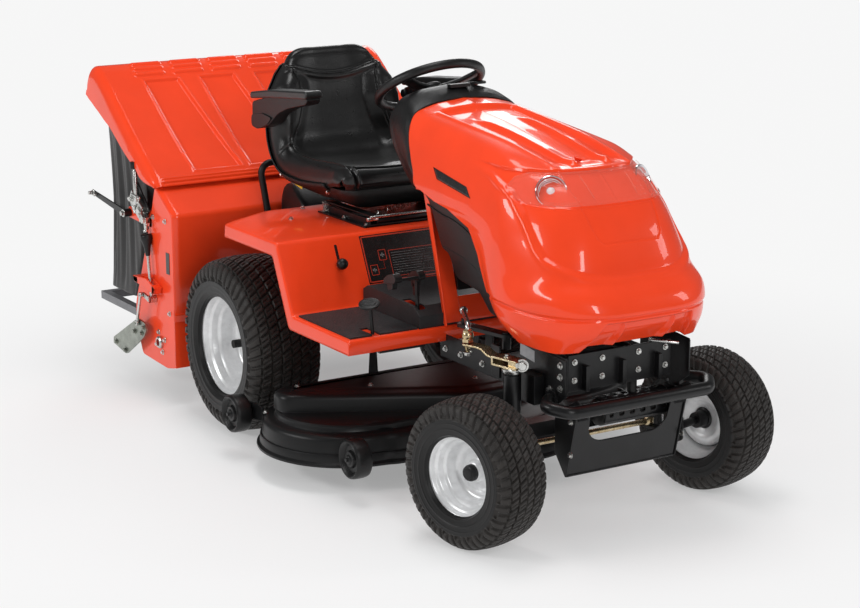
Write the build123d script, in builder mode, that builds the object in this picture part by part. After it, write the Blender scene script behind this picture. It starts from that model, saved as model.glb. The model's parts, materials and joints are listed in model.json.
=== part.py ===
from build123d import *
import os
import math

os.makedirs("parts", exist_ok=True)

# ---------------------------------------------------------------- driving dimensions (mm)
FX = 961.0            # the front axle lies this far ahead of the origin
WHEELBASE = 1235.0
FRONT_R, FRONT_W = 203.0, 162.0        # 16x6.50-8 turf tyre
REAR_R, REAR_W = 272.0, 239.0          # 22x9.50-12 turf tyre
TRACK_R = 834.0
KINGPIN_Y = 273.0
WHEEL_OFFSET = 141.0                   # kingpin axis to wheel centre
STEER_REST = math.degrees(0.2252)      # wheels stand turned to the left at rest
ARM = 165.0                            # steering and pitman arm length
FIT = 0.05                             # radial running clearance
DECK_Z0, DECK_TOP = 78.0, 185.0
BLADE_R = 200.0
SPINDLES = {"right": (-730.0, -380.0), "centre": (-580.0, 0.0), "left": (-730.0, 380.0)}
PLATFORM_Z = 665.0
FOOT_Z = 465.0


def X(s):
    """row x of a station measured forward from the front axle"""
    return s + FX


def side(y=0.0):
    """plane facing -Y: local x is row X, local y is row Z"""
    return Plane(origin=(0, y, 0), x_dir=(1, 0, 0), z_dir=(0, -1, 0))


def face_x(x=0.0):
    """plane facing +X: local x is row Y, local y is row Z"""
    return Plane(origin=(x, 0, 0), x_dir=(0, 1, 0), z_dir=(1, 0, 0))


def poly(points):
    """closed polygon of (station, z) or (y, z) points in the current sketch"""
    with BuildLine() as outline:
        Polyline(*points, close=True)
    return make_face(outline.edges())


def st(points):
    return [(X(a), b) for a, b in points]


def slab(points, y0, y1, mode=Mode.ADD):
    """extrude a (station, z) polygon from y0 to y1"""
    with BuildSketch(side(y0)) as profile:
        poly(st(points))
    extrude(profile.sketch, amount=-(y1 - y0), mode=mode)


def box(x0, x1, y0, y1, z0, z1, mode=Mode.ADD):
    """box between stations x0 and x1"""
    with Locations((X((x0 + x1) / 2), (y0 + y1) / 2, (z0 + z1) / 2)):
        Box(abs(x1 - x0), abs(y1 - y0), abs(z1 - z0), mode=mode)


def rod(a, b, r, mode=Mode.ADD):
    """round bar between two (station, y, z) points"""
    p = Vector(X(a[0]), a[1], a[2])
    q = Vector(X(b[0]), b[1], b[2])
    with BuildSketch(Plane(origin=p, z_dir=(q - p).normalized())) as section:
        Circle(r)
    extrude(section.sketch, amount=(q - p).length, mode=mode)


def pipe(points, r, bend):
    """bent round tube through (station, y, z) points"""
    with BuildLine() as path:
        FilletPolyline(*[(X(a), b, c) for a, b, c in points], radius=bend)
    with BuildSketch(Plane(origin=path.line @ 0, z_dir=path.line % 0)) as section:
        Circle(r)
    sweep(section.sketch, path=path.line)


def turn(vx, vy, deg=STEER_REST):
    c, s = math.cos(math.radians(deg)), math.sin(math.radians(deg))
    return c * vx - s * vy, s * vx + c * vy


# ================================================================ chassis
with BuildPart() as chassis_frame:
    for s in (-1, 1):
        a, b = sorted((s * 172, s * 200))
        slab([(-1546, 310), (-1440, 368), (110, 368), (150, 400), (150, 500), (60, 500), (20, 438), (-1546, 438)], a, b)
    box(-470, 60, -172, 172, 432, 438)                  # engine bed
    box(104, 110, -172, 172, 400, 500)                  # front plate
    box(-1546, -1536, -172, 172, 320, 438)              # hitch plate of the grass collector
    box(-800, -760, -172, 172, 380, 430)                # middle cross member
    for x in (-44, 36):                                 # axle hangers
        box(x, x + 8, -60, 60, 246, 432)
    rod((-44, 0, 282), (44, 0, 282), 12)                # axle pivot pin
    # steering box on the engine bed, with the bore for the pitman shaft
    box(-212, -168, -196, -125, 438, 478)
    rod((-190, -165, 448), (-190, -165, 500), 12 + FIT, mode=Mode.SUBTRACT)
    for s in (-1, 1):                                   # hinge lugs of the bonnet
        a, b = sorted((s * 150, s * 160))
        box(106, 132, a, b, 480, 512)
chassis_frame.part.label = "chassis_frame"
export_step(chassis_frame.part, "parts/chassis_frame.step")

with BuildPart() as bumper_guard:
    pipe([(92, -219, 384), (150, -268, 384), (205, -225, 376), (205, 225, 376), (150, 268, 384), (92, 219, 384)], 18, 26)
    slab([(118, 172), (122, 172), (168, 362), (164, 362)], -180, 180)
    for s in (-1, 1):
        a, b = sorted((s * 180, s * 184))
        slab([(70, 230), (118, 172), (123, 172), (166, 345), (200, 362), (200, 386), (166, 394), (120, 366), (70, 366)], a, b)
    with BuildSketch(face_x(X(200))) as arch:
        with Locations((0, 322)):
            SlotOverall(270, 116)
    extrude(arch.sketch, amount=-120, mode=Mode.SUBTRACT)
bumper_guard.part.label = "bumper_guard"
export_step(bumper_guard.part, "parts/bumper_guard.step")

with BuildPart() as engine:
    box(-150, -10, -105, 105, 438, 640)
    box(-420, -30, -130, 130, 640, 800)
    with Locations((X(-220), 0, 800)):
        Cylinder(105, 40, align=(Align.CENTER, Align.CENTER, Align.MIN))
    # exhaust: pipe down to the silencer behind the bumper
    rod((84, -60, 322), (84, 165, 322), 38)
    rod((84, -68, 322), (84, 173, 322), 32)
    pipe([(84, 60, 350), (84, 60, 480), (-12, 60, 480)], 13, 30)
engine.part.label = "engine"
export_step(engine.part, "parts/engine.step")

with BuildPart() as transaxle:
    box(-1350, -1120, -110, 110, 205, 367)
    chamfer(transaxle.edges().filter_by(Axis.Y), 20)
    rod((-WHEELBASE, -285, REAR_R), (-WHEELBASE, 285, REAR_R), 30)
    rod((-WHEELBASE, -480, REAR_R), (-WHEELBASE, 480, REAR_R), 12.7)
transaxle.part.label = "transaxle"
export_step(transaxle.part, "parts/transaxle.step")

# pressed fender and footplate shell: platform, sloping riser and footplates in one skin
TOP = [(-1302, PLATFORM_Z), (-862, PLATFORM_Z), (-767, FOOT_Z), (-440, FOOT_Z)]
with BuildPart() as rear_body_shell:
    slab(TOP + [(-440, FOOT_Z - 4), (-770, FOOT_Z - 4), (-865, PLATFORM_Z - 4), (-1302, PLATFORM_Z - 4)], -520, 520)
    for s in (-1, 1):
        a, b = sorted((s * 516, s * 520))
        slab([(-1200, PLATFORM_Z)] + TOP[1:] + [(-440, FOOT_Z - 42), (-790, FOOT_Z - 42), (-885, PLATFORM_Z - 42), (-1200, PLATFORM_Z - 42)], a, b)
        # inner wheel-arch walls of the seat box
        a, b = sorted((s * 262, s * 266))
        slab([(-1300, 440), (-880, 440), (-800, 470), (-862, 661), (-1300, 661)], a, b)
        # platform corners are cut off diagonally at the rear
        with BuildSketch(Plane.XY.offset(600)) as corner:
            poly([(X(-1310), s * 316), (X(-1310), s * 530), (X(-1196), s * 530)])
        extrude(corner.sketch, amount=80, mode=Mode.SUBTRACT)
        with BuildSketch(Plane.XY.offset(PLATFORM_Z - 42)) as lip:
            poly([(X(-1302), s * 322), (X(-1200), s * 518), (X(-1196), s * 516), (X(-1298), s * 320)])
        extrude(lip.sketch, amount=40)
    box(-1302, -1298, -322, 322, PLATFORM_Z - 42, PLATFORM_Z - 2)
    box(-444, -440, -520, 520, FOOT_Z - 42, FOOT_Z - 2)
    box(-460, -430, -201, 201, 400, 439, mode=Mode.SUBTRACT)
    # slot of the deck lever and openings of the two pedals, right side
    box(-900, -780, -343, -327, 530, 664, mode=Mode.SUBTRACT)
    box(-500, -444.5, -434, -412, 440, 480, mode=Mode.SUBTRACT)
    box(-540, -450, -276, -250, 440, 480, mode=Mode.SUBTRACT)
    # pivot lugs and pins under the shell
    box(-500, -480, -249, -245, 408, FOOT_Z - 4)
    box(-500, -480, -282, -278, 408, FOOT_Z - 4)
    rod((-490, -282, 420), (-490, -245, 420), 4)
    box(-480, -460, -410, -406, 418, FOOT_Z - 4)
    box(-480, -460, -440, -436, 418, FOOT_Z - 4)
    rod((-470, -440, 430), (-470, -406, 430), 4)
    box(-942, -922, -350, -346, 541, PLATFORM_Z - 4)
    box(-942, -922, -324, -320, 541, PLATFORM_Z - 4)
    rod((-932, -350, 553), (-932, -320, 553), 4)
rear_body_shell.part.label = "rear_body_shell"
export_step(rear_body_shell.part, "parts/rear_body_shell.step")

with BuildPart() as fuel_tank:
    slab([(-1500, 500), (-1320, 500), (-1320, 640), (-1368, 660), (-1420, 690), (-1500, 705)], -170, 170)
fuel_tank.part.label = "fuel_tank"
export_step(fuel_tank.part, "parts/fuel_tank.step")

with BuildPart() as foot_mats:
    for s in (-1, 1):
        a, b = sorted((s * 288, s * 505))
        box(-755, -455, a, b, FOOT_Z, FOOT_Z + 5)
    box(-530, -454, -436, -410, 460, 480, mode=Mode.SUBTRACT)
foot_mats.part.label = "foot_mats"
export_step(foot_mats.part, "parts/foot_mats.step")

with BuildPart() as tunnel_cover:
    slab([(-766, FOOT_Z), (-450, FOOT_Z), (-450, 500), (-480, 524), (-740, 534), (-766, 520)], -284, 284)
    slab([(-800, FOOT_Z - 10), (-455, FOOT_Z - 10), (-455, 496), (-483, 520), (-738, 530), (-790, 516)], -280, 280, mode=Mode.SUBTRACT)
    box(-560, -470, -276, -250, 500, 540, mode=Mode.SUBTRACT)
tunnel_cover.part.label = "tunnel_cover"
export_step(tunnel_cover.part, "parts/tunnel_cover.step")

# steering geometry: wheel centre and column axis
SW = Vector(X(-852), 0, 1085)
SN = Vector(-math.sin(math.radians(30.5)), 0, math.cos(math.radians(30.5)))

with BuildPart() as steering_console:
    slab([(-560, 838), (-534, 838), (-434, FOOT_Z), (-449, FOOT_Z), (-449, 500)], -205, 205)
    box(-600, -400, -160, 160, 540, 780, mode=Mode.SUBTRACT)
    # lower column bearing bracket
    box(-600, -470, -205, 205, 790, 800)
steering_console.part.label = "steering_console"
export_step(steering_console.part, "parts/steering_console.step")

with BuildPart() as dash_cowl:
    slab([(-800, 1066), (-745, 1100), (-692, 1096), (-692, 1040), (-568, 846), (-664, 820), (-795, 972)], -175, 175)
    slab([(-794, 1062), (-744, 1094), (-698, 1090), (-698, 1036), (-580, 848), (-662, 828), (-788, 974)], -169, 169, mode=Mode.SUBTRACT)
    with BuildSketch(Plane(origin=SW, z_dir=SN)):
        Circle(13)
    extrude(amount=-330, mode=Mode.SUBTRACT)
dash_cowl.part.label = "dash_cowl"
export_step(dash_cowl.part, "parts/dash_cowl.step")

PANEL = [(-540, 838), (-441, 822), (-367, 812), (-260, 780), (-200, 718), (-132, 612), (-96, 552), (-190, 556),
         (-246, 606), (-361, 622), (-403, 685), (-437, 692), (-505, 815)]
with BuildPart() as side_panels:
    for s in (-1, 1):
        a, b = sorted((s * 214, s * 218))
        slab(PANEL, a, b)
        a, b = sorted((s * 205, s * 214))
        box(-530, -470, a, b, 812, 818)
side_panels.part.label = "side_panels"
export_step(side_panels.part, "parts/side_panels.step")

with BuildPart() as seat_hoop:
    pipe([(-1535, -187, 438), (-1535, -187, 560), (-1535, -222, 768), (-1535, 222, 768), (-1535, 187, 560), (-1535, 187, 438)], 11, 34)
seat_hoop.part.label = "seat_hoop"
export_step(seat_hoop.part, "parts/seat_hoop.step")

with BuildPart() as frame_bolts:
    for s in (-1, 1):
        for x, z in ((126, 480), (126, 450), (126, 420), (-60, 400), (-300, 400)):
            rod((x, s * 200, z), (x, s * 206, z), 8)
frame_bolts.part.label = "frame_bolts"
export_step(frame_bolts.part, "parts/frame_bolts.step")

# ================================================================ bonnet
# horizontal slices: z, then (station, half width) from the rear edge to the nose
SLICES = [
    (519, [(-30, 235), (10, 250), (92, 244), (150, 214), (172, 120)]),
    (580, [(-92, 262), (-10, 284), (97, 262), (185, 214), (232, 110)]),
    (622, [(-126, 266), (-20, 286), (98, 262), (192, 212), (250, 110)]),
    (704, [(-176, 262), (-60, 277), (52, 256), (142, 204), (190, 105)]),
    (805, [(-300, 248), (-90, 262), (0, 242), (102, 188), (150, 95)]),
    (852, [(-545, 238), (-110, 252), (-12, 230), (76, 178), (122, 92)]),
    (890, [(-574, 230), (-130, 243), (-32, 218), (56, 164), (92, 92)]),
    (966, [(-630, 206), (-170, 216), (-90, 190), (-20, 134), (2, 86)]),
    (1030, [(-662, 182), (-560, 182), (-480, 172), (-400, 120), (-370, 80)]),
    (1064, [(-680, 163), (-672, 163), (-664, 150), (-656, 110), (-650, 75)]),
]


def bonnet_loft(grow, extra_rear=0.0, zlow=0.0, ztop=0.0):
    sections = []
    for i, (z, pts) in enumerate(SLICES):
        zz = z + (zlow if i == 0 else 0) + (ztop if i == len(SLICES) - 1 else 0)
        right = [(X(a + (grow if j else -extra_rear)), -(w + grow)) for j, (a, w) in enumerate(pts)]
        with BuildSketch(Plane.XY.offset(zz)) as level:
            poly(right + [(a, -b) for a, b in reversed(right)])
        sections.append(level.sketch)
    loft(sections, ruled=True)


with BuildPart() as bonnet_inner:
    bonnet_loft(-5, extra_rear=40, zlow=-3, ztop=-5)
with BuildPart() as bonnet_outer:
    bonnet_loft(0)
with BuildPart() as bonnet_skin3:
    bonnet_loft(3)

LAMPS = [(-34, -172, 916), (-34, 172, 916)]
with BuildPart() as bonnet:
    add(bonnet_outer.part)
    add(bonnet_inner.part, mode=Mode.SUBTRACT)
    for x, y, z in LAMPS:
        rod((x - 40, y * 0.93, z - 10), (x + 80, y * 1.06, z + 20), 33, mode=Mode.SUBTRACT)
bonnet.part.label = "bonnet"
export_step(bonnet.part, "parts/bonnet.step")

with BuildPart() as headlight_lens:
    add(bonnet_skin3.part)
    add(bonnet_outer.part, mode=Mode.SUBTRACT)
    box(-110, 130, -240, 240, 890, 964, mode=Mode.INTERSECT)
headlight_lens.part.label = "headlight_lens"
export_step(headlight_lens.part, "parts/headlight_lens.step")

with BuildPart() as headlamps:
    for x, y, z in LAMPS:
        rod((x - 40, y * 0.93, z - 10), (x + 40, y * 1.02, z + 10), 30)
    add(bonnet_outer.part, mode=Mode.INTERSECT)
headlamps.part.label = "headlamps"
export_step(headlamps.part, "parts/headlamps.step")

# ================================================================ front axle and steering
with BuildPart() as front_axle_beam:
    box(-25, 25, -262, 262, 262, 302)
    for s in (-1, 1):
        rod((0, s * KINGPIN_Y, 246), (0, s * KINGPIN_Y, 440), 24)
        rod((0, s * KINGPIN_Y, 240), (0, s * KINGPIN_Y, 450), 10 + FIT, mode=Mode.SUBTRACT)
    rod((-30, 0, 282), (30, 0, 282), 12 + FIT, mode=Mode.SUBTRACT)
front_axle_beam.part.label = "front_axle_beam"
export_step(front_axle_beam.part, "parts/front_axle_beam.step")


def knuckle(s):
    """kingpin, lower block, stub axle and tie-rod arm; s is -1 right, +1 left"""
    ky = s * KINGPIN_Y
    rod((0, ky, 180), (0, ky, 470), 10)
    rod((0, ky, 180), (0, ky, 244), 20)
    dx, dy = turn(0, s)
    rod((0, ky, FRONT_R), (dx * 205, ky + dy * 205, FRONT_R), 9.5)
    ax, ay = turn(-90, 0)
    with BuildSketch(Plane.XY.offset(186)) as arm:
        with Locations((X(ax / 2), ky + ay / 2)):
            SlotCenterToCenter(90, 28, rotation=STEER_REST)
    extrude(arm.sketch, amount=8)
    rod((ax, ky + ay, 180), (ax, ky + ay, 215), 6)


with BuildPart() as knuckle_right:
    knuckle(-1)
    ax, ay = turn(-ARM, 0)
    with BuildSketch(Plane.XY.offset(452)):
        with Locations((X(ax / 2), -KINGPIN_Y + ay / 2)):
            SlotCenterToCenter(ARM, 34, rotation=STEER_REST)
    extrude(amount=10)
    rod((ax, -KINGPIN_Y + ay, 452), (ax, -KINGPIN_Y + ay, 482), 7)
    rod((0, -KINGPIN_Y, 441), (0, -KINGPIN_Y, 452), 22)
knuckle_right.part.label = "knuckle_right"
export_step(knuckle_right.part, "parts/knuckle_right.step")

with BuildPart() as knuckle_left:
    knuckle(1)
    rod((0, KINGPIN_Y, 441), (0, KINGPIN_Y, 452), 22)
knuckle_left.part.label = "knuckle_left"
export_step(knuckle_left.part, "parts/knuckle_left.step")

TX, TY = turn(-90, 0)
with BuildPart() as tie_rod:
    rod((TX, -KINGPIN_Y + TY, 203), (TX, KINGPIN_Y + TY, 203), 7)
    for s in (-1, 1):
        rod((TX, s * KINGPIN_Y + TY, 195), (TX, s * KINGPIN_Y + TY, 212), 13)
    rod((TX, -KINGPIN_Y + TY, 190), (TX, -KINGPIN_Y + TY, 220), 6 + FIT, mode=Mode.SUBTRACT)
    rod((TX, KINGPIN_Y + TY, 190), (TX, KINGPIN_Y + TY, 220), 6.5, mode=Mode.SUBTRACT)
tie_rod.part.label = "tie_rod"
export_step(tie_rod.part, "parts/tie_rod.step")

PX, PY = -190.0, -165.0                     # pitman axis
AX, AY = turn(-ARM, 0)
with BuildPart() as drag_link:
    pipe([(AX, -KINGPIN_Y + AY, 484), (AX, -KINGPIN_Y + AY, 530), (PX + AX, PY + AY, 530)], 7, 18)
    rod((AX, -KINGPIN_Y + AY, 463), (AX, -KINGPIN_Y + AY, 490), 13)
    rod((AX, -KINGPIN_Y + AY, 460), (AX, -KINGPIN_Y + AY, 483), 7 + FIT, mode=Mode.SUBTRACT)
    rod((PX + AX, PY + AY, 520), (PX + AX, PY + AY, 540), 12)
drag_link.part.label = "drag_link"
export_step(drag_link.part, "parts/drag_link.step")

with BuildPart() as steering_sector:
    rod((PX, PY, 450), (PX, PY, 498), 12)
    rod((PX + AX, PY + AY, 490), (PX + AX, PY + AY, 507), 6)
    with BuildSketch(Plane.XY.offset(484)):
        with Locations((X(PX + AX / 2), PY + AY / 2)):
            SlotCenterToCenter(ARM, 36, rotation=STEER_REST)
    extrude(amount=10)
steering_sector.part.label = "pitman_arm"
export_step(steering_sector.part, "parts/pitman_arm.step")

with BuildPart() as steering_shaft:
    with BuildSketch(Plane(origin=SW - SN * 40, z_dir=SN)):
        Circle(10)
    extrude(amount=-420)
steering_shaft.part.label = "steering_shaft"
export_step(steering_shaft.part, "parts/steering_shaft.step")

with BuildPart() as steering_wheel:
    with BuildSketch(Plane(origin=SW, z_dir=(0, 1, 0), x_dir=(SN.Z, 0, -SN.X))):
        with Locations((157, 0)):
            Circle(14)
    revolve(axis=Axis(SW, SN))
    with BuildSketch(Plane(origin=SW - SN * 40, x_dir=(0, 1, 0), z_dir=SN)):
        Circle(34)
    extrude(amount=34)
    with BuildSketch(Plane(origin=SW - SN * 14, x_dir=(0, 1, 0), z_dir=SN)):
        for k in (90, 210, 330):
            with PolarLocations(85, 1, start_angle=k):
                Rectangle(142, 34)
    extrude(amount=10)
steering_wheel.part.label = "steering_wheel"
export_step(steering_wheel.part, "parts/steering_wheel.step")


def tyre_profile(r, w, rim):
    """half-section of a turf tyre, axis along local x"""
    h = w / 2
    pts = [(-h * 0.80, rim), (-h * 0.97, rim + 12), (-h, rim + (r - rim) * 0.45), (-h * 0.94, r - h * 0.26),
           (-h * 0.80, r - h * 0.09), (-h * 0.45, r - 2), (0, r), (h * 0.45, r - 2), (h * 0.80, r - h * 0.09),
           (h * 0.94, r - h * 0.26), (h, rim + (r - rim) * 0.45), (h * 0.97, rim + 12), (h * 0.80, rim)]
    return pts


def rim_profile(rim, w, disc, hub, bore):
    """half-section of a pressed wheel: barrel, flanges, dished disc and hub; +x is outboard"""
    h = w / 2
    return [(-h * 0.80, rim - 6), (-h * 0.80, rim), (-h * 0.5, rim - 1), (h * 0.5, rim - 1), (h * 0.80, rim), (h * 0.80, rim - 6),
            (h * 0.55, rim - 10), (disc + 4, rim - 14), (disc + 4, hub + 8), (disc + 20, hub), (disc + 20, bore), (-h * 0.7, bore),
            (-h * 0.7, hub), (disc - 3, hub + 8), (disc - 3, rim - 14), (-h * 0.55, rim - 10)]


def wheel_plane(cx, cy, cz, nx, ny):
    """local x along the spin axis (outboard), local y vertical"""
    n = Vector(nx, ny, 0).normalized()
    return Plane(origin=(X(cx), cy, cz), x_dir=n, z_dir=n.cross(Vector(0, 0, 1)))


WHEELS = {}
for tag, s in (("right", -1), ("left", 1)):
    ox, oy = turn(0, s * WHEEL_OFFSET)
    WHEELS["front_" + tag] = (ox, s * KINGPIN_Y + oy, FRONT_R, ox, oy)
    WHEELS["rear_" + tag] = (-WHEELBASE, s * TRACK_R / 2, REAR_R, 0, s)

with BuildPart() as front_tyre_right:
    with BuildSketch(wheel_plane(*WHEELS["front_right"])) as sk:
        poly(tyre_profile(FRONT_R, FRONT_W, 104))
    pl = wheel_plane(*WHEELS["front_right"])
    revolve(axis=Axis(pl.origin, pl.x_dir))
front_tyre_right.part.label = "front_tyre_right"
export_step(front_tyre_right.part, "parts/front_tyre_right.step")

with BuildPart() as front_tyre_left:
    with BuildSketch(wheel_plane(*WHEELS["front_left"])) as sk:
        poly(tyre_profile(FRONT_R, FRONT_W, 104))
    pl = wheel_plane(*WHEELS["front_left"])
    revolve(axis=Axis(pl.origin, pl.x_dir))
front_tyre_left.part.label = "front_tyre_left"
export_step(front_tyre_left.part, "parts/front_tyre_left.step")

with BuildPart() as rear_tyre_right:
    with BuildSketch(wheel_plane(*WHEELS["rear_right"])) as sk:
        poly(tyre_profile(REAR_R, REAR_W, 152))
    pl = wheel_plane(*WHEELS["rear_right"])
    revolve(axis=Axis(pl.origin, pl.x_dir))
rear_tyre_right.part.label = "rear_tyre_right"
export_step(rear_tyre_right.part, "parts/rear_tyre_right.step")

with BuildPart() as rear_tyre_left:
    with BuildSketch(wheel_plane(*WHEELS["rear_left"])) as sk:
        poly(tyre_profile(REAR_R, REAR_W, 152))
    pl = wheel_plane(*WHEELS["rear_left"])
    revolve(axis=Axis(pl.origin, pl.x_dir))
rear_tyre_left.part.label = "rear_tyre_left"
export_step(rear_tyre_left.part, "parts/rear_tyre_left.step")

with BuildPart() as front_rim_right:
    pl = wheel_plane(*WHEELS["front_right"])
    with BuildSketch(pl):
        poly(rim_profile(104, FRONT_W, 8, 26, 9.5 + 0.08))
    revolve(axis=Axis(pl.origin, pl.x_dir))
front_rim_right.part.label = "front_rim_right"
export_step(front_rim_right.part, "parts/front_rim_right.step")

with BuildPart() as front_rim_left:
    pl = wheel_plane(*WHEELS["front_left"])
    with BuildSketch(pl):
        poly(rim_profile(104, FRONT_W, 8, 26, 9.5 + 0.08))
    revolve(axis=Axis(pl.origin, pl.x_dir))
front_rim_left.part.label = "front_rim_left"
export_step(front_rim_left.part, "parts/front_rim_left.step")

with BuildPart() as rear_rim_right:
    pl = wheel_plane(*WHEELS["rear_right"])
    with BuildSketch(pl):
        poly(rim_profile(152, REAR_W, 20, 40, 12.7 + 0.08))
    revolve(axis=Axis(pl.origin, pl.x_dir))
rear_rim_right.part.label = "rear_rim_right"
export_step(rear_rim_right.part, "parts/rear_rim_right.step")

with BuildPart() as rear_rim_left:
    pl = wheel_plane(*WHEELS["rear_left"])
    with BuildSketch(pl):
        poly(rim_profile(152, REAR_W, 20, 40, 12.7 + 0.08))
    revolve(axis=Axis(pl.origin, pl.x_dir))
rear_rim_left.part.label = "rear_rim_left"
export_step(rear_rim_left.part, "parts/rear_rim_left.step")

# ================================================================ controls
with BuildPart() as drive_pedal:
    rod((-490, -274, 420), (-490, -252, 420), 10)
    rod((-490, -263, 428), (-502, -263, 597), 6)
    slab([(-532, 584), (-474, 600), (-476, 608), (-534, 592)], -352, -248)
    rod((-490, -276, 420), (-490, -250, 420), 4 + FIT, mode=Mode.SUBTRACT)
drive_pedal.part.label = "drive_pedal"
export_step(drive_pedal.part, "parts/drive_pedal.step")

with BuildPart() as brake_pedal:
    rod((-470, -430, 430), (-470, -416, 430), 9)
    rod((-470, -423, 430), (-484, -425, 548), 5)
    rod((-485, -426, 544), (-483, -428, 554), 30)
    rod((-470, -432, 430), (-470, -414, 430), 4 + FIT, mode=Mode.SUBTRACT)
brake_pedal.part.label = "brake_pedal"
export_step(brake_pedal.part, "parts/brake_pedal.step")

with BuildPart() as deck_lift_lever:
    rod((-932, -342, 553), (-932, -328, 553), 11)
    rod((-932, -335, 553), (-812, -335, 588.5), 5)
    with Locations((X(-800), -335, 592)):
        Sphere(17)
    rod((-932, -344, 553), (-932, -326, 553), 4 + FIT, mode=Mode.SUBTRACT)
deck_lift_lever.part.label = "deck_lift_lever"
export_step(deck_lift_lever.part, "parts/deck_lift_lever.step")

# ================================================================ seat
# tilting suspension base, hinged at its front edge
with BuildPart() as seat_base:
    box(-1190, -900, -200, 200, PLATFORM_Z + 0.3, 676)
    for s in (-1, 1):
        a, b = sorted((s * 150, s * 180))
        box(-1185, -905, a, b, 676, 702)
seat_base.part.label = "seat_base"
export_step(seat_base.part, "parts/seat_base.step")

with BuildPart() as seat_pan:
    slab([(-1200, 702.3), (-960, 702.3), (-950, 722), (-955, 752), (-1440, 776), (-1468, 800), (-1512, 1050), (-1505, 1100),
          (-1524, 1102), (-1540, 1050), (-1494, 800), (-1460, 745)], -205, 205)
seat_pan.part.label = "seat_pan"
export_step(seat_pan.part, "parts/seat_pan.step")

with BuildPart() as seat_cushion:
    slab([(-1436, 777), (-962, 753), (-962, 800), (-990, 826), (-1060, 832), (-1300, 826), (-1436, 822)], -236, 236)
    with BuildSketch(Plane.XY.offset(700)) as plan:
        with Locations((X(-1199), 0)):
            RectangleRounded(476, 474, 70)
    extrude(plan.sketch, amount=200, mode=Mode.INTERSECT)
seat_cushion.part.label = "seat_cushion"
export_step(seat_cushion.part, "parts/seat_cushion.step")

with BuildPart() as seat_back:
    slab([(-1441, 823), (-1408, 850), (-1404, 1000), (-1440, 1100), (-1465, 1138), (-1490, 1138), (-1503, 1112),
          (-1511, 1050), (-1467, 803)], -236, 236)
    with BuildSketch(face_x(X(-1560))) as shape:
        poly([(-225, 780), (-236, 860), (-232, 940), (-205, 1070), (-150, 1150), (150, 1150), (205, 1070), (232, 940), (236, 860), (225, 780)])
    extrude(shape.sketch, amount=200, mode=Mode.INTERSECT)
seat_back.part.label = "seat_back"
export_step(seat_back.part, "parts/seat_back.step")

ARMREST = [(-1425, 955), (-1425, 912), (-1380, 908), (-1230, 985), (-1080, 1022), (-1060, 1040), (-1070, 1062), (-1300, 1040), (-1425, 1018)]
with BuildPart() as armrest_right:
    slab(ARMREST, -306, -246)
    rod((-1405, -246, 975), (-1405, -236.5, 975), 14)
armrest_right.part.label = "armrest_right"
export_step(armrest_right.part, "parts/armrest_right.step")

with BuildPart() as armrest_left:
    slab(ARMREST, 246, 306)
    rod((-1405, 246, 975), (-1405, 236.5, 975), 14)
armrest_left.part.label = "armrest_left"
export_step(armrest_left.part, "parts/armrest_left.step")

# ================================================================ cutter deck
def deck_outline(off=0.0):
    with Locations((X(-730), -370), (X(-730), 370)):
        Circle(258 + off)
    with Locations((X(-705), 0)):
        Rectangle(490 + 2 * off, 740)
    with Locations((X(-560), 0)):
        Circle(280 + off)
    with Locations((X(-950 - 200 - off), 0)):
        Rectangle(400, 1400, mode=Mode.SUBTRACT)


with BuildPart() as deck_shell:
    with BuildSketch(Plane.XY.offset(DECK_Z0)):
        deck_outline(0)
    extrude(amount=DECK_TOP - DECK_Z0)
    with BuildSketch(Plane.XY.offset(DECK_Z0 - 1)):
        deck_outline(-6)
    extrude(amount=DECK_TOP - DECK_Z0 - 4, mode=Mode.SUBTRACT)
    for x, y in SPINDLES.values():
        rod((x, y, 152), (x, y, 190), 45)
        rod((x, y, 140), (x, y, 200), 12.5 + FIT, mode=Mode.SUBTRACT)
    for s in (-1, 1):
        a, b = sorted((s * 466, s * 476))
        box(-560, -420, a, b, 113, 160)
        rod((-434, s * 470, 127), (-434, s * 532, 127), 8)
        a, b = sorted((s * 560, s * 570))
        box(-994, -880, a, b, 121, 170)
        rod((-980, s * 565, 135), (-980, s * 628, 135), 8)
    # deck hangers
    for s in (-1, 1):
        a, b = sorted((s * 206, s * 212))
        box(-860, -820, a, b, DECK_TOP - 2, 330)
deck_shell.part.label = "deck_shell"
export_step(deck_shell.part, "parts/deck_shell.step")

COVER = [(-830, -560), (-757, -560), (-682, -401), (-602, -248), (-500, -60), (-500, 60), (-602, 248), (-682, 401), (-757, 560), (-830, 560),
         (-850, 400), (-850, -400)]
with BuildPart() as belt_cover:
    with BuildSketch(Plane.XY.offset(DECK_TOP)):
        poly([(X(a), b) for a, b in COVER])
        with Locations(*[(X(x), y) for x, y in SPINDLES.values()]):
            Circle(70)
    extrude(amount=58)
    with BuildSketch(Plane.XY.offset(DECK_TOP - 1)):
        poly([(X(a), b) for a, b in COVER])
        with Locations(*[(X(x), y) for x, y in SPINDLES.values()]):
            Circle(70)
        offset(amount=-4, mode=Mode.REPLACE)
    extrude(amount=55, mode=Mode.SUBTRACT)
    for s in (-1, 1):
        a, b = sorted((s * 200, s * 218))
        box(-866, -814, a, b, 180, 260, mode=Mode.SUBTRACT)
belt_cover.part.label = "belt_cover"
export_step(belt_cover.part, "parts/belt_cover.step")


def spindle(x, y, angle):
    rod((x, y, 92), (x, y, 236), 12.5)
    rod((x, y, 206), (x, y, 228), 44)
    with BuildSketch(Plane.XY.offset(100)) as blade:
        with Locations((X(x), y)):
            SlotOverall(2 * BLADE_R, 56, rotation=angle)
    extrude(blade.sketch, amount=5)
    rod((x, y, 105), (x, y, 138), 24)


with BuildPart() as blade_spindle_right:
    spindle(*SPINDLES["right"], 20)
blade_spindle_right.part.label = "blade_spindle_right"
export_step(blade_spindle_right.part, "parts/blade_spindle_right.step")

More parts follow.
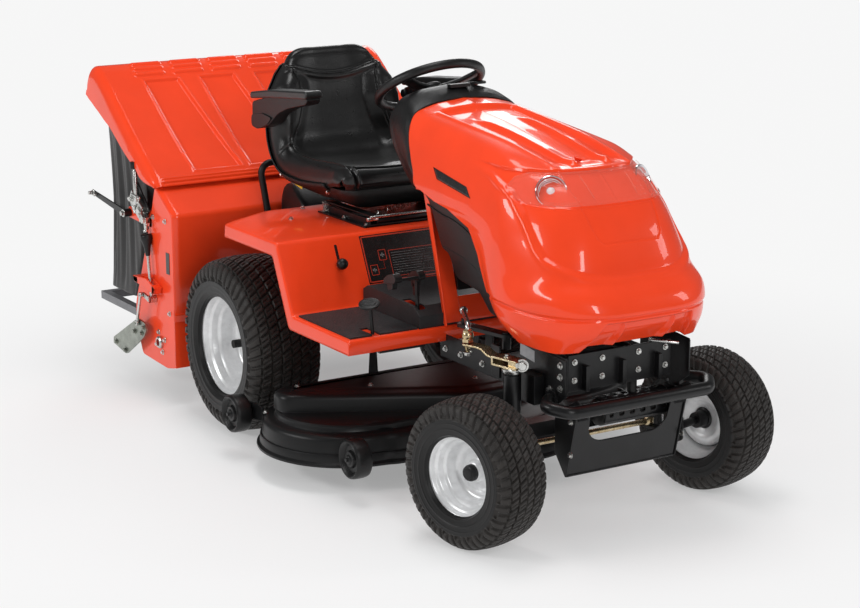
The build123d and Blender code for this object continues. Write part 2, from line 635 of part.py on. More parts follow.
with BuildPart() as blade_spindle_centre:
    spindle(*SPINDLES["centre"], 100)
blade_spindle_centre.part.label = "blade_spindle_centre"
export_step(blade_spindle_centre.part, "parts/blade_spindle_centre.step")

with BuildPart() as blade_spindle_left:
    spindle(*SPINDLES["left"], 160)
blade_spindle_left.part.label = "blade_spindle_left"
export_step(blade_spindle_left.part, "parts/blade_spindle_left.step")

with BuildPart() as deck_belt:
    with BuildSketch(Plane.XY.offset(210)):
        with Locations(*[(X(x), y) for x, y in SPINDLES.values()]):
            Circle(50.4)
        make_hull()
        with BuildSketch(Plane.XY.offset(210), mode=Mode.SUBTRACT):
            with Locations(*[(X(x), y) for x, y in SPINDLES.values()]):
                Circle(44.4)
            make_hull()
    extrude(amount=12)
deck_belt.part.label = "deck_belt"
export_step(deck_belt.part, "parts/deck_belt.step")


def deck_roller(x, y, z):
    rod((x, y - 25, z), (x, y + 25, z), 57.5)
    rod((x, y - 26, z), (x, y + 26, z), 8 + FIT, mode=Mode.SUBTRACT)


with BuildPart() as deck_roller_front_right:
    deck_roller(-434, -505, 127)
deck_roller_front_right.part.label = "deck_roller_front_right"
export_step(deck_roller_front_right.part, "parts/deck_roller_front_right.step")
with BuildPart() as deck_roller_front_left:
    deck_roller(-434, 505, 127)
deck_roller_front_left.part.label = "deck_roller_front_left"
export_step(deck_roller_front_left.part, "parts/deck_roller_front_left.step")
with BuildPart() as deck_roller_rear_right:
    deck_roller(-980, -599, 135)
deck_roller_rear_right.part.label = "deck_roller_rear_right"
export_step(deck_roller_rear_right.part, "parts/deck_roller_rear_right.step")
with BuildPart() as deck_roller_rear_left:
    deck_roller(-980, 599, 135)
deck_roller_rear_left.part.label = "deck_roller_rear_left"
export_step(deck_roller_rear_left.part, "parts/deck_roller_rear_left.step")

# ================================================================ grass collector
CW = 530.0
HOUSE = [(-1672, 700), (-1550, 625), (-1550, 126), (-1616, 111), (-1805, 118), (-1852, 210), (-1848, 289), (-1790, 414), (-1715, 584)]
with BuildPart() as collector_housing:
    for s in (-1, 1):
        a, b = sorted((s * (CW - 4), s * CW))
        slab(HOUSE, a, b)
    slab([(-1672, 700), (-1550, 625), (-1550, 280), (-1554, 280), (-1554, 622.5), (-1672, 695)], -CW + 4, CW - 4)
    slab([(-1715, 584), (-1712, 590), (-1690, 640), (-1694, 642)], -CW + 4, CW - 4)
    for s in (-1, 1):                                    # brush bearings
        a, b = sorted((s * (CW - 10), s * (CW - 4)))
        rod((-1680, a, 190), (-1680, b, 190), 34)
    rod((-1680, -CW - 1, 190), (-1680, CW + 1, 190), 12 + FIT, mode=Mode.SUBTRACT)
    # red quadrant, lever bracket and pivot pins of the levers, right side
    slab([(-1800, 390), (-1792, 372), (-1640, 356), (-1632, 378), (-1700, 398)], -560, -CW)
    box(-1752, -1664, -551, -539, 340, 410, mode=Mode.SUBTRACT)
    slab([(-1700, 560), (-1700, 620), (-1885, 603), (-1885, 567)], -CW, -CW + 4)
    for x, z in ((-1690, 330), (-1727, 228), (-1867, 585)):
        rod((x, -558, z), (x, -CW + 4, z), 4)
collector_housing.part.label = "collector_housing"
export_step(collector_housing.part, "parts/collector_housing.step")

with BuildPart() as collector_frame:
    for s in (-1, 1):
        a, b = sorted((s * 500, s * 526))
        box(-2150, -1790, a, b, 236, 262)
    box(-2150, -2125, -500, 500, 236, 262)
    box(-1885, -1860, -500, 500, 236, 262)
collector_frame.part.label = "collector_frame"
export_step(collector_frame.part, "parts/collector_frame.step")

CANOPY = [(-1640, 706), (-1655, 722), (-1753, 790), (-1840, 852), (-1945, 930), (-2040, 1000), (-2095, 1036), (-2140, 1040), (-2166, 1010), (-2172, 940),
          (-2082, 892), (-1970, 841), (-1852, 769), (-1700, 706)]
CANOPY_IN = [(-1600, 690), (-1658, 714), (-1756, 784), (-1843, 846), (-1948, 924), (-2043, 994), (-2097, 1030), (-2138, 1034), (-2160, 1008), (-2166, 930),
             (-2166, 800), (-1700, 600)]
with BuildPart() as collector_canopy:
    slab(CANOPY, -545, 545)
    slab(CANOPY_IN, -539, 539, mode=Mode.SUBTRACT)
collector_canopy.part.label = "collector_canopy"
export_step(collector_canopy.part, "parts/collector_canopy.step")

NET = [(-1730, 712), (-1852, 764), (-1970, 836), (-2082, 887), (-2130, 912), (-2120, 300), (-2100, 270), (-1872, 270), (-1858, 300), (-1800, 430), (-1735, 590)]
NET_IN = [(-1600, 740), (-1600, 640), (-1735, 610), (-1806, 432), (-1864, 301), (-1876, 276), (-2098, 276), (-2114, 302), (-2124, 920), (-2124, 1000), (-1852, 1000)]
with BuildPart() as collector_net:
    slab(NET, -520, 520)
    slab(NET_IN, -514, 514, mode=Mode.SUBTRACT)
    add(collector_canopy.part, mode=Mode.SUBTRACT)
collector_net.part.label = "collector_net"
export_step(collector_net.part, "parts/collector_net.step")

with BuildPart() as sweeper_brush:
    rod((-1680, -CW + 11, 190), (-1680, CW - 11, 190), 80)
    rod((-1680, -CW + 1, 190), (-1680, CW - 1, 190), 12)
sweeper_brush.part.label = "sweeper_brush"
export_step(sweeper_brush.part, "parts/sweeper_brush.step")

LX, LZ = -1690.0, 330.0                     # height lever pivot
CX, CZ = -1727.0, 228.0                     # crank pivot
with BuildPart() as height_lever:
    rod((LX, -553, LZ), (LX, -532, LZ), 12)
    rod((LX, -545, LZ + 6), (-1710, -545, 500), 5)
    rod((-1709, -545, 490), (-1715, -545, 534), 15)
    slab([(LX - 47, LZ + 2), (LX - 31, LZ + 2), (LX + 8, LZ - 9), (LX + 8, LZ + 9), (LX - 31, LZ + 16), (LX - 47, LZ + 16)], -560, -553)
    rod((LX - 39, -573, LZ + 8), (LX - 39, -555, LZ + 8), 4)
    rod((LX, -562, LZ), (LX, -530, LZ), 4 + FIT, mode=Mode.SUBTRACT)
height_lever.part.label = "height_lever"
export_step(height_lever.part, "parts/height_lever.step")

with BuildPart() as height_crank:
    slab([(-1716, 244), (-1774, 250), (-1980, 140), (-1975, 120), (-1875, 104), (-1727, 196), (-1710, 222)], -560, -553)
    rod((CX, -553, CZ), (CX, -532, CZ), 12)
    rod((CX - 39, -573, CZ + 8), (CX - 39, -555, CZ + 8), 4)
    rod((CX, -562, CZ), (CX, -530, CZ), 4 + FIT, mode=Mode.SUBTRACT)
height_crank.part.label = "height_crank"
export_step(height_crank.part, "parts/height_crank.step")

with BuildPart() as height_rod:
    slab([(LX - 44, LZ + 8), (LX - 34, LZ + 8), (CX - 34, CZ + 8), (CX - 44, CZ + 8)], -570, -563)
    rod((LX - 39, -571, LZ + 8), (LX - 39, -561, LZ + 8), 9)
    rod((CX - 39, -571, CZ + 8), (CX - 39, -561, CZ + 8), 9)
    rod((LX - 39, -574, LZ + 8), (LX - 39, -560, LZ + 8), 4 + FIT, mode=Mode.SUBTRACT)
    rod((CX - 39, -574, CZ + 8), (CX - 39, -560, CZ + 8), 4.3, mode=Mode.SUBTRACT)
height_rod.part.label = "height_rod"
export_step(height_rod.part, "parts/height_rod.step")

with BuildPart() as net_tip_lever:
    rod((-1867, -556, 585), (-1867, -532, 585), 12)
    slab([(-1858, 576), (-1858, 596), (-2120, 622), (-2120, 606)], -556, -550)
    rod((-2085, -566, 611), (-2085, -550, 611), 5)
    rod((-1867, -560, 585), (-1867, -530, 585), 4 + FIT, mode=Mode.SUBTRACT)
net_tip_lever.part.label = "net_tip_lever"
export_step(net_tip_lever.part, "parts/net_tip_lever.step")
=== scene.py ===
import bpy, bmesh, math, random, json
import numpy as np
from mathutils.geometry import tessellate_polygon
from mathutils import Vector, Matrix

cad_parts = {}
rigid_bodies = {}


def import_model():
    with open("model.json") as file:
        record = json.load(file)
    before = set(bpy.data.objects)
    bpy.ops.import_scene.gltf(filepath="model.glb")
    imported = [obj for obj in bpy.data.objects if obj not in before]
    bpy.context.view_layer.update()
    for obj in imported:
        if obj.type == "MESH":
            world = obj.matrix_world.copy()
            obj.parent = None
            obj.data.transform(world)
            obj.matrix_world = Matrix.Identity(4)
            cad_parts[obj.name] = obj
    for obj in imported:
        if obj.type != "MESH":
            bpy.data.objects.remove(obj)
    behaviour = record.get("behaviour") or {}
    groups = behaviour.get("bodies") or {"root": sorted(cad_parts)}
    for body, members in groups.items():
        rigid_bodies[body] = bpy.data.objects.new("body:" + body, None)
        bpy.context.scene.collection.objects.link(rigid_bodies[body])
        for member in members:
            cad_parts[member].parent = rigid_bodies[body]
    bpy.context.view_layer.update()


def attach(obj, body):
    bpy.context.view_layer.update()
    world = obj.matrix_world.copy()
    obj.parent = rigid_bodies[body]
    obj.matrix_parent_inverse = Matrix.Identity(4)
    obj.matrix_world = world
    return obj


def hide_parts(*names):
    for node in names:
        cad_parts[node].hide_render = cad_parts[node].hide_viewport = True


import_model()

FX = .961                      # the front axle lies this far ahead of the origin
random.seed(7)
scene = bpy.context.scene


def V(s, y, z):
    return np.array([s + FX, y, z], float)


# ------------------------------------------------------------------ materials
def nt(name):
    m = bpy.data.materials.new(name); m.use_nodes = True
    n = m.node_tree.nodes; b = n.get("Principled BSDF")
    return m, n, m.node_tree.links, b


def pbr(name, col, rough=.4, metal=0., coat=0., spec=.5, var=.12, vscale=14., bump=0., bscale=400., bkind="noise",
        col2=None, rvar=.08, edge=0., sheen=0., detail=3., coat_rough=.06, bevel=0., dist=.001):
    """principled surface with colour mottling, roughness wear and a fine bump, all procedural"""
    m, n, l, b = nt(name)
    tc = n.new("ShaderNodeTexCoord")
    ns = n.new("ShaderNodeTexNoise"); ns.inputs["Scale"].default_value = vscale; ns.inputs["Detail"].default_value = detail
    l.new(tc.outputs["Object"], ns.inputs["Vector"])
    ramp = n.new("ShaderNodeValToRGB")
    c1 = [max(0, c * (1 - var)) for c in col]; c2 = col2 or [min(1, c * (1 + var)) for c in col]
    ramp.color_ramp.elements[0].position = .3; ramp.color_ramp.elements[1].position = .72
    ramp.color_ramp.elements[0].color = (*c1, 1); ramp.color_ramp.elements[1].color = (*c2, 1)
    l.new(ns.outputs["Fac"], ramp.inputs["Fac"]); l.new(ramp.outputs["Color"], b.inputs["Base Color"])
    mr = n.new("ShaderNodeMapRange"); mr.inputs["To Min"].default_value = max(.02, rough - rvar); mr.inputs["To Max"].default_value = min(1, rough + rvar)
    n2 = n.new("ShaderNodeTexNoise"); n2.inputs["Scale"].default_value = vscale * 5; n2.inputs["Detail"].default_value = 4
    l.new(tc.outputs["Object"], n2.inputs["Vector"]); l.new(n2.outputs["Fac"], mr.inputs["Value"]); l.new(mr.outputs["Result"], b.inputs["Roughness"])
    b.inputs["Metallic"].default_value = metal; b.inputs["Coat Weight"].default_value = coat; b.inputs["Coat Roughness"].default_value = coat_rough
    b.inputs["Specular IOR Level"].default_value = spec; b.inputs["Sheen Weight"].default_value = sheen
    last = None
    if bevel:
        bv = n.new("ShaderNodeBevel"); bv.inputs["Radius"].default_value = bevel; bv.samples = 4; last = bv.outputs["Normal"]
    if bump:
        bp = n.new("ShaderNodeBump"); bp.inputs["Strength"].default_value = bump; bp.inputs["Distance"].default_value = dist
        if bkind == "noise":
            t = n.new("ShaderNodeTexNoise"); t.inputs["Scale"].default_value = bscale; t.inputs["Detail"].default_value = 2; o = t.outputs["Fac"]
        elif bkind == "voronoi":
            t = n.new("ShaderNodeTexVoronoi"); t.inputs["Scale"].default_value = bscale; o = t.outputs["Distance"]
        elif bkind == "wave":
            t = n.new("ShaderNodeTexWave"); t.inputs["Scale"].default_value = bscale; t.inputs["Distortion"].default_value = .2; o = t.outputs["Fac"]
        elif bkind == "checker":
            t = n.new("ShaderNodeTexChecker"); t.inputs["Scale"].default_value = bscale; o = t.outputs["Fac"]
        l.new(tc.outputs["Object"], t.inputs["Vector"]); l.new(o, bp.inputs["Height"])
        if last is not None: l.new(last, bp.inputs["Normal"])
        last = bp.outputs["Normal"]
    if last is not None: l.new(last, b.inputs["Normal"])
    return m


RED = pbr("red_enamel", (.88, .058, .013), .30, coat=.55, spec=.12, var=.05, vscale=6, bump=.03, bscale=55, coat_rough=.03, rvar=.05, bevel=.0)
REDB = pbr("red_enamel_sheet", (.90, .060, .014), .32, coat=.5, spec=.14, var=.05, vscale=6, bump=.03, bscale=60, rvar=.05, bevel=.002)
BLK = pbr("black_enamel", (.0055, .0055, .006), .34, spec=.4, var=.3, vscale=20, bump=.12, bscale=500, rvar=.1, bevel=.0015)
SATIN = pbr("black_satin_moulding", (.0062, .006, .0062), .38, spec=.38, var=.2, vscale=25, bump=.25, bscale=1400, rvar=.06)
DECK = pbr("deck_enamel", (.0060, .0060, .0064), .40, spec=.32, var=.1, vscale=9, bump=.02, bscale=140, rvar=.04, coat=.05, coat_rough=.3)
DARK = pbr("machinery_black", (.008, .008, .008), .6, spec=.3, var=.4, vscale=30, bump=.3, bscale=250, bevel=.0015)
CAST = pbr("cast_housing", (.05, .05, .05), .55, metal=.4, var=.3, vscale=25, bump=.5, bscale=350, bevel=.002)
TYRE = pbr("tyre_rubber", (.021, .018, .016), .50, spec=.34, var=.25, vscale=30, bump=.35, bscale=700, rvar=.1, sheen=.05)
SIDE = pbr("tyre_sidewall", (.0075, .0072, .0072), .42, spec=.34, var=.2, vscale=20, bump=.15, bscale=600, rvar=.08)
RIM = pbr("rim_silver_enamel", (.84, .845, .85), .30, metal=.35, spec=.5, var=.06, vscale=60, bump=.06, bscale=900, coat=.35, coat_rough=.2, rvar=.06)
ZINC = pbr("yellow_zinc", (.62, .46, .24), .28, metal=1, var=.25, vscale=70, bump=.15, bscale=400, col2=[.78, .66, .45], rvar=.12)
STEEL = pbr("bright_zinc", (.62, .62, .60), .27, metal=1, var=.15, vscale=60, bump=.12, bscale=500, rvar=.12)
GREY = pbr("grey_enamel", (.19, .19, .2), .4, metal=.3, var=.12, vscale=30, bump=.1, bscale=400, bevel=.0015)
VINYL = pbr("seat_vinyl", (.0048, .0046, .0046), .30, spec=.5, var=.15, vscale=18, bump=.35, bscale=420, bkind="voronoi", rvar=.07, dist=.0006, sheen=.04)
SHELLP = pbr("seat_shell_plastic", (.008, .008, .008), .45, spec=.4, var=.15, vscale=30, bump=.6, bscale=900, bkind="voronoi", dist=.0006)
MAT = pbr("mat_rubber", (.022, .022, .023), .6, spec=.35, var=.2, vscale=40, bump=.8, bscale=170, bkind="voronoi", dist=.0012)
BRUSH = pbr("brush_bristle", (.012, .012, .012), .7, var=.3, vscale=120, bump=1., bscale=500)
BELT = pbr("belt_rubber", (.015, .015, .015), .7, var=.2, vscale=80, bump=.4, bscale=300)
# dark sticker finish, also used on the lever slot plate, where it is painted shade standing in for the opening
STICK_AND_SLOT_SHADE = pbr("sticker_dark", (.014, .013, .013), .25, spec=.5, var=.2, vscale=50)
STICKR = pbr("sticker_red", (.55, .045, .02), .3, var=.1, vscale=50)
STICKG = pbr("sticker_grey", (.32, .33, .34), .35, var=.1, vscale=90)
YEL = pbr("tag_yellow", (.75, .5, .03), .4, var=.1, vscale=60)
WIRE = pbr("wire_red", (.5, .02, .015), .4, var=.1, vscale=60)
CHROME = pbr("lamp_reflector", (.72, .73, .75), .1, metal=1, var=.08, vscale=30, rvar=.04)
BULB = pbr("lamp_glass", (.85, .87, .9), .05, spec=.9, var=.03, vscale=20, coat=1)


def net_material():
    m, n, l, b = nt("net_weave")
    tc = n.new("ShaderNodeTexCoord")
    w1 = n.new("ShaderNodeTexWave"); w1.bands_direction = "X"; w1.inputs["Scale"].default_value = 80
    w2 = n.new("ShaderNodeTexWave"); w2.bands_direction = "Z"; w2.inputs["Scale"].default_value = 80
    mx = n.new("ShaderNodeMath"); mx.operation = "MAXIMUM"
    for w in (w1, w2):
        l.new(tc.outputs["Object"], w.inputs["Vector"])
    l.new(w1.outputs["Fac"], mx.inputs[0]); l.new(w2.outputs["Fac"], mx.inputs[1])
    r = n.new("ShaderNodeValToRGB"); r.color_ramp.elements[0].color = (.004, .004, .004, 1); r.color_ramp.elements[1].color = (.035, .034, .034, 1)
    l.new(mx.outputs[0], r.inputs["Fac"]); l.new(r.outputs["Color"], b.inputs["Base Color"])
    bp = n.new("ShaderNodeBump"); bp.inputs["Strength"].default_value = .5; bp.inputs["Distance"].default_value = .001
    l.new(mx.outputs[0], bp.inputs["Height"]); l.new(bp.outputs["Normal"], b.inputs["Normal"])
    b.inputs["Roughness"].default_value = .75; b.inputs["Sheen Weight"].default_value = .3
    return m


NET = net_material()


def lens_material():
    m, n, l, b = nt("clear_lens")
    tc = n.new("ShaderNodeTexCoord"); ns = n.new("ShaderNodeTexNoise"); ns.inputs["Scale"].default_value = 30
    mr = n.new("ShaderNodeMapRange"); mr.inputs["To Min"].default_value = .02; mr.inputs["To Max"].default_value = .07
    l.new(tc.outputs["Object"], ns.inputs["Vector"]); l.new(ns.outputs["Fac"], mr.inputs["Value"]); l.new(mr.outputs["Result"], b.inputs["Roughness"])
    b.inputs["Base Color"].default_value = (.80, .30, .24, 1)
    b.inputs["Alpha"].default_value = .10
    b.inputs["Specular IOR Level"].default_value = .4
    b.inputs["Coat Weight"].default_value = .0
    return m


LENS = lens_material()


# ------------------------------------------------------------------ geometry in mesh code
def unit(v):
    v = np.asarray(v, float); return v / max(1e-12, np.linalg.norm(v))


def basis(d):
    d = unit(d); a = np.array([0, 0, 1.]) if abs(d[2]) < .9 else np.array([1., 0, 0])
    e = unit(np.cross(a, d)); return e, np.cross(d, e), d


def merge(*gs):
    vs, fs, o = [], [], 0
    for v, f in gs:
        vs.append(np.asarray(v, float)); fs += [[i + o for i in q] for q in f]; o += len(v)
    return np.concatenate(vs), fs


def g_grid(P, wrap_u=False, wrap_v=False):
    n, m = P.shape[:2]; f = []
    for i in range(n if wrap_u else n - 1):
        for j in range(m if wrap_v else m - 1):
            i2, j2 = (i + 1) % n, (j + 1) % m
            f.append([i * m + j, i * m + j2, i2 * m + j2, i2 * m + j])
    return P.reshape(-1, 3), f


def g_rev(prof, o, axis, seg=48, closed=False):
    """profile of (along, radius) revolved about axis through o"""
    e1, e2, d = basis(axis); P = np.zeros((seg, len(prof), 3))
    for k in range(seg):
        a = 2 * math.pi * k / seg; r = math.cos(a) * e1 + math.sin(a) * e2
        for j, (h, q) in enumerate(prof): P[k, j] = np.asarray(o) + d * h + r * q
    return g_grid(P, True, closed)


def g_rod(a, b, r, seg=24, c=None):
    a, b = np.asarray(a, float), np.asarray(b, float); L = np.linalg.norm(b - a); c = min(r * .18, L * .2) if c is None else c
    return g_rev([(0, 0), (0, r - c), (c * .3, r - c * .3), (c, r), (L - c, r), (L - c * .3, r - c * .3), (L, r - c), (L, 0)], a, b - a, seg)


def fillet(points, bend):
    P = [np.asarray(p, float) for p in points]; out = [P[0]]
    for i in range(1, len(P) - 1):
        a, b, c = P[i - 1], P[i], P[i + 1]; u, w = unit(a - b), unit(c - b)
        ang = math.acos(max(-1, min(1, float(u @ w))))
        if math.pi - ang < .05: out.append(b); continue
        t = min(bend / math.tan(ang / 2), .48 * np.linalg.norm(a - b), .48 * np.linalg.norm(c - b))
        R = t * math.tan(ang / 2); cen = b + unit(u + w) * (R / math.sin(ang / 2))
        s, e = b + u * t - cen, b + w * t - cen; th = math.acos(max(-1, min(1, float(unit(s) @ unit(e)))))
        n = max(4, int(th / .18))
        for k in range(n + 1):
            q = k / n; out.append(cen + (math.sin((1 - q) * th) * s + math.sin(q * th) * e) / math.sin(th))
    return out + [P[-1]]


def g_sweep(path, sec, closed=False, caps=True):
    """section (list of 2-D points or radius list) swept along path with parallel frames"""
    path = [np.asarray(p, float) for p in path]; n = len(path); T = []
    for i in range(n):
        a = path[i - 1] if (i or closed) else path[0]; b = path[(i + 1) % n] if (i < n - 1 or closed) else path[-1]
        T.append(unit(b - a))
    e1, e2, _ = basis(T[0]); P = np.zeros((n, len(sec), 3))
    for i in range(n):
        if i:
            e1 = unit(e1 - T[i] * (e1 @ T[i])); e2 = np.cross(T[i], e1)
        for j, (x, y) in enumerate(sec): P[i, j] = path[i] + e1 * x + e2 * y
    v, f = g_grid(P, closed, True)
    if caps and not closed:
        m = len(sec); f.append(list(range(m))[::-1]); f.append([(n - 1) * m + j for j in range(m)])
    return v, f


def g_tube(points, r, bend=.02, seg=20, closed=False):
    path = fillet(points, bend)
    return g_sweep(path, [(r * math.cos(2 * math.pi * k / seg), r * math.sin(2 * math.pi * k / seg)) for k in range(seg)], closed)


AX = {"x": (1, 2, 0), "y": (0, 2, 1), "z": (0, 1, 2)}


def g_prism(poly, a, b, axis="y"):
    """polygon extruded along a row axis; poly is in the two other axes, stations on x"""
    i, j, k = AX[axis]; n = len(poly); v = []
    for h in (a, b):
        for p in poly:
            q = [0, 0, 0]; q[i], q[j], q[k] = p[0], p[1], h; v.append(V(*q))
    f = [list(range(n)), [n + t for t in range(n)][::-1]] + [[t, t + n, (t + 1) % n + n, (t + 1) % n] for t in range(n)]
    return np.array(v), f


def g_box(x0, x1, y0, y1, z0, z1):
    return g_prism([(x0, z0), (x1, z0), (x1, z1), (x0, z1)], y0, y1, "y")


def g_obox(c, ex, ey, ez, hx, hy, hz):
    """box with its own axes, centre c"""
    c = np.asarray(c, float); ex, ey, ez = map(unit, (ex, ey, ez)); v = []
    for sz in (-1, 1):
        for sx, sy in ((-1, -1), (1, -1), (1, 1), (-1, 1)): v.append(c + ex * hx * sx + ey * hy * sy + ez * hz * sz)
    return np.array(v), [[0, 1, 2, 3][::-1], [4, 5, 6, 7], [0, 1, 5, 4], [1, 2, 6, 5], [2, 3, 7, 6], [3, 0, 4, 7]]


def g_bolt(p, d, r=.006, washer=True, h=None):
    """hexagon head with a chamfer, on a washer"""
    p = np.asarray(p, float); e1, e2, d = basis(d); gs = []; h = h or r * .9; base = 0
    if washer:
        gs.append(g_rev([(0, r * 1.45), (r * .2, r * 1.45), (r * .26, r * 1.38), (r * .26, 0)], p, d, 20)); base = r * .26
    v = []
    for hh, rr in ((base, r), (base + h * .8, r), (base + h, r * .84)):
        for k in range(6):
            a = math.pi / 3 * k + .3; v.append(p + d * hh + (e1 * math.cos(a) + e2 * math.sin(a)) * rr)
    f = [[i * 6 + k, i * 6 + (k + 1) % 6, (i + 1) * 6 + (k + 1) % 6, (i + 1) * 6 + k] for i in range(2) for k in range(6)] + [[12 + k for k in range(6)]]
    gs.append((np.array(v), f)); return merge(*gs)


def g_ball(c, r, s=(1, 1, 1), seg=20):
    P = np.zeros((seg, seg // 2 + 1, 3))
    for i in range(seg):
        for j in range(seg // 2 + 1):
            a, b = 2 * math.pi * i / seg, math.pi * (j / (seg // 2)) * .998 + .003
            P[i, j] = np.asarray(c) + r * np.array([math.cos(a) * math.sin(b) * s[0], math.sin(a) * math.sin(b) * s[1], math.cos(b) * s[2]])
    return g_grid(P, True)


def make(name, g, mat, body, nodes=(), bevel=0., bseg=2, angle=35, solid=0., offset=-1, sub=0, mats=None, flip=False, weld=False):
    v, f = g
    me = bpy.data.meshes.new(name); me.from_pydata([tuple(map(float, p)) for p in v], [], f); me.validate()
    bm = bmesh.new(); bm.from_mesh(me)
    if weld: bmesh.ops.remove_doubles(bm, verts=bm.verts, dist=1e-5)
    bmesh.ops.recalc_face_normals(bm, faces=bm.faces)
    if flip: bmesh.ops.reverse_faces(bm, faces=bm.faces)
    bm.to_mesh(me); bm.free()
    ob = bpy.data.objects.new(name, me); scene.collection.objects.link(ob)
    me.materials.append(mat)
    me.shade_smooth()
    if angle < 180: me.set_sharp_from_angle(angle=math.radians(angle))
    if solid:
        md = ob.modifiers.new("thick", "SOLIDIFY"); md.thickness = solid; md.offset = offset; md.use_even_offset = False
    if bevel:
        md = ob.modifiers.new("round", "BEVEL"); md.width = bevel; md.segments = bseg; md.limit_method = "ANGLE"; md.angle_limit = math.radians(angle); md.harden_normals = True
    if sub:
        md = ob.modifiers.new("sub", "SUBSURF"); md.levels = md.render_levels = sub
    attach(ob, body)
    if nodes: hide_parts(*([nodes] if isinstance(nodes, str) else nodes))
    return ob


def mirror(g):
    v, f = g; return np.asarray(v) * [1, -1, 1], f


def both(g):
    return merge(g, mirror(g))


def sstep(a, b, x):
    t = np.clip((x - a) / (b - a), 0, 1); return t * t * (3 - 2 * t)


def herm(x, xp, yp, flat_end=False):
    xp = np.asarray(xp, float); yp = np.asarray(yp, float); n = len(xp)
    h = np.diff(xp); s = np.diff(yp, axis=0) / h[:, None]; m = np.zeros_like(yp)
    for i in range(1, n - 1):
        a, b = s[i - 1], s[i]; w = (h[i] * a + h[i - 1] * b) / (h[i] + h[i - 1])
        lim = 3 * np.minimum(abs(a), abs(b)); m[i] = np.where(a * b <= 0, 0, np.clip(w, -lim, lim))
    m[0] = s[0]; m[-1] = s[-1]
    if flat_end: m[-1, 0] = 0; m[-1, 2] = 0
    i = np.clip(np.searchsorted(xp, x, side="right") - 1, 0, n - 2); t = ((x - xp[i]) / h[i])[:, None]; H = h[i][:, None]
    return (2 * t**3 - 3 * t**2 + 1) * yp[i] + (t**3 - 2 * t**2 + t) * H * m[i] + (-2 * t**3 + 3 * t**2) * yp[i + 1] + (t**3 - t**2) * H * m[i + 1]


def paint(mat, *nodes):
    """gives a carried-over CAD node its finished material"""
    for nme in nodes:
        o = bpy.data.objects.get(nme)
        if o is None:
            o = next(x for x in bpy.data.objects if x.type == "MESH" and x.name.split(".")[0] == nme)
        if not o.data.materials: o.data.materials.append(mat)
        for s in o.material_slots: s.material = mat

# ------------------------------------------------------------------ camera, light, floor
cam_d = bpy.data.cameras.new("cam"); cam = bpy.data.objects.new("cam", cam_d); scene.collection.objects.link(cam); scene.camera = cam
th, ph, ro = .5547, .2428, -.0016
d = np.array([-math.cos(th) * math.cos(ph), math.sin(th) * math.cos(ph), -math.sin(ph)])
r = np.array([math.sin(th), math.cos(th), 0.]); u = np.cross(r, d)
r2 = math.cos(ro) * r + math.sin(ro) * u; u2 = -math.sin(ro) * r + math.cos(ro) * u
M = Matrix.Identity(4)
for i in range(3):
    M[i][0], M[i][1], M[i][2] = r2[i], u2[i], -d[i]
M[0][3], M[1][3], M[2][3] = 4.4877 + FX, -3.3093, 1.9728
cam.matrix_world = M
cam_d.lens = 89.03; cam_d.sensor_width = 36; cam_d.clip_start = .1; cam_d.clip_end = 100


def area(name, loc, target, size, power, sy=None, col=(1, 1, 1)):
    L = bpy.data.lights.new(name, "AREA"); L.energy = power; L.size = size; L.color = col
    if sy: L.shape = "RECTANGLE"; L.size_y = sy
    o = bpy.data.objects.new(name, L); scene.collection.objects.link(o); o.location = loc
    o.rotation_mode = "QUATERNION"; o.rotation_quaternion = (Vector(target) - Vector(loc)).to_track_quat("-Z", "Y")
    return o


area("top_softbox", (.1, -.2, 4.0), (.2, 0, .4), 2.2, 50, 1.2)
area("left_strip", (-.8, -4.4, 2.6), (0, 0, .6), 2.6, 66, .6)
area("front_strip", (4.4, -1.4, 2.2), (.8, 0, .6), .45, 36, 1.9)
area("right_fill", (3.2, 3.6, 2.4), (.4, 0, .5), .9, 26, 1.6)
area("back_rim", (-3.4, 2.4, 2.8), (-.4, 0, .7), 1.8, 34, 1.2)
w = bpy.data.worlds.new("studio"); scene.world = w; w.use_nodes = True
wn = w.node_tree.nodes; wl = w.node_tree.links; bg = wn["Background"]; bg.inputs["Color"].default_value = (.93, .935, .945, 1); bg.inputs["Strength"].default_value = .52
bg2 = wn.new("ShaderNodeBackground"); bg2.inputs["Color"].default_value = (.925, .925, .925, 1); bg2.inputs["Strength"].default_value = 1.0
lp = wn.new("ShaderNodeLightPath"); mxw = wn.new("ShaderNodeMixShader"); wo = next(x for x in wn if x.type == "OUTPUT_WORLD")
bg3 = wn.new("ShaderNodeBackground"); bg3.inputs["Color"].default_value = (.93, .935, .945, 1); bg3.inputs["Strength"].default_value = .16
mxg = wn.new("ShaderNodeMixShader"); wl.new(lp.outputs["Is Glossy Ray"], mxg.inputs[0]); wl.new(bg.outputs[0], mxg.inputs[1]); wl.new(bg3.outputs[0], mxg.inputs[2])
wl.new(lp.outputs["Is Camera Ray"], mxw.inputs[0]); wl.new(mxg.outputs[0], mxw.inputs[1]); wl.new(bg2.outputs[0], mxw.inputs[2]); wl.new(mxw.outputs[0], wo.inputs["Surface"])
scene.view_settings.view_transform = "Standard"; scene.view_settings.look = "None"; scene.view_settings.exposure = 0

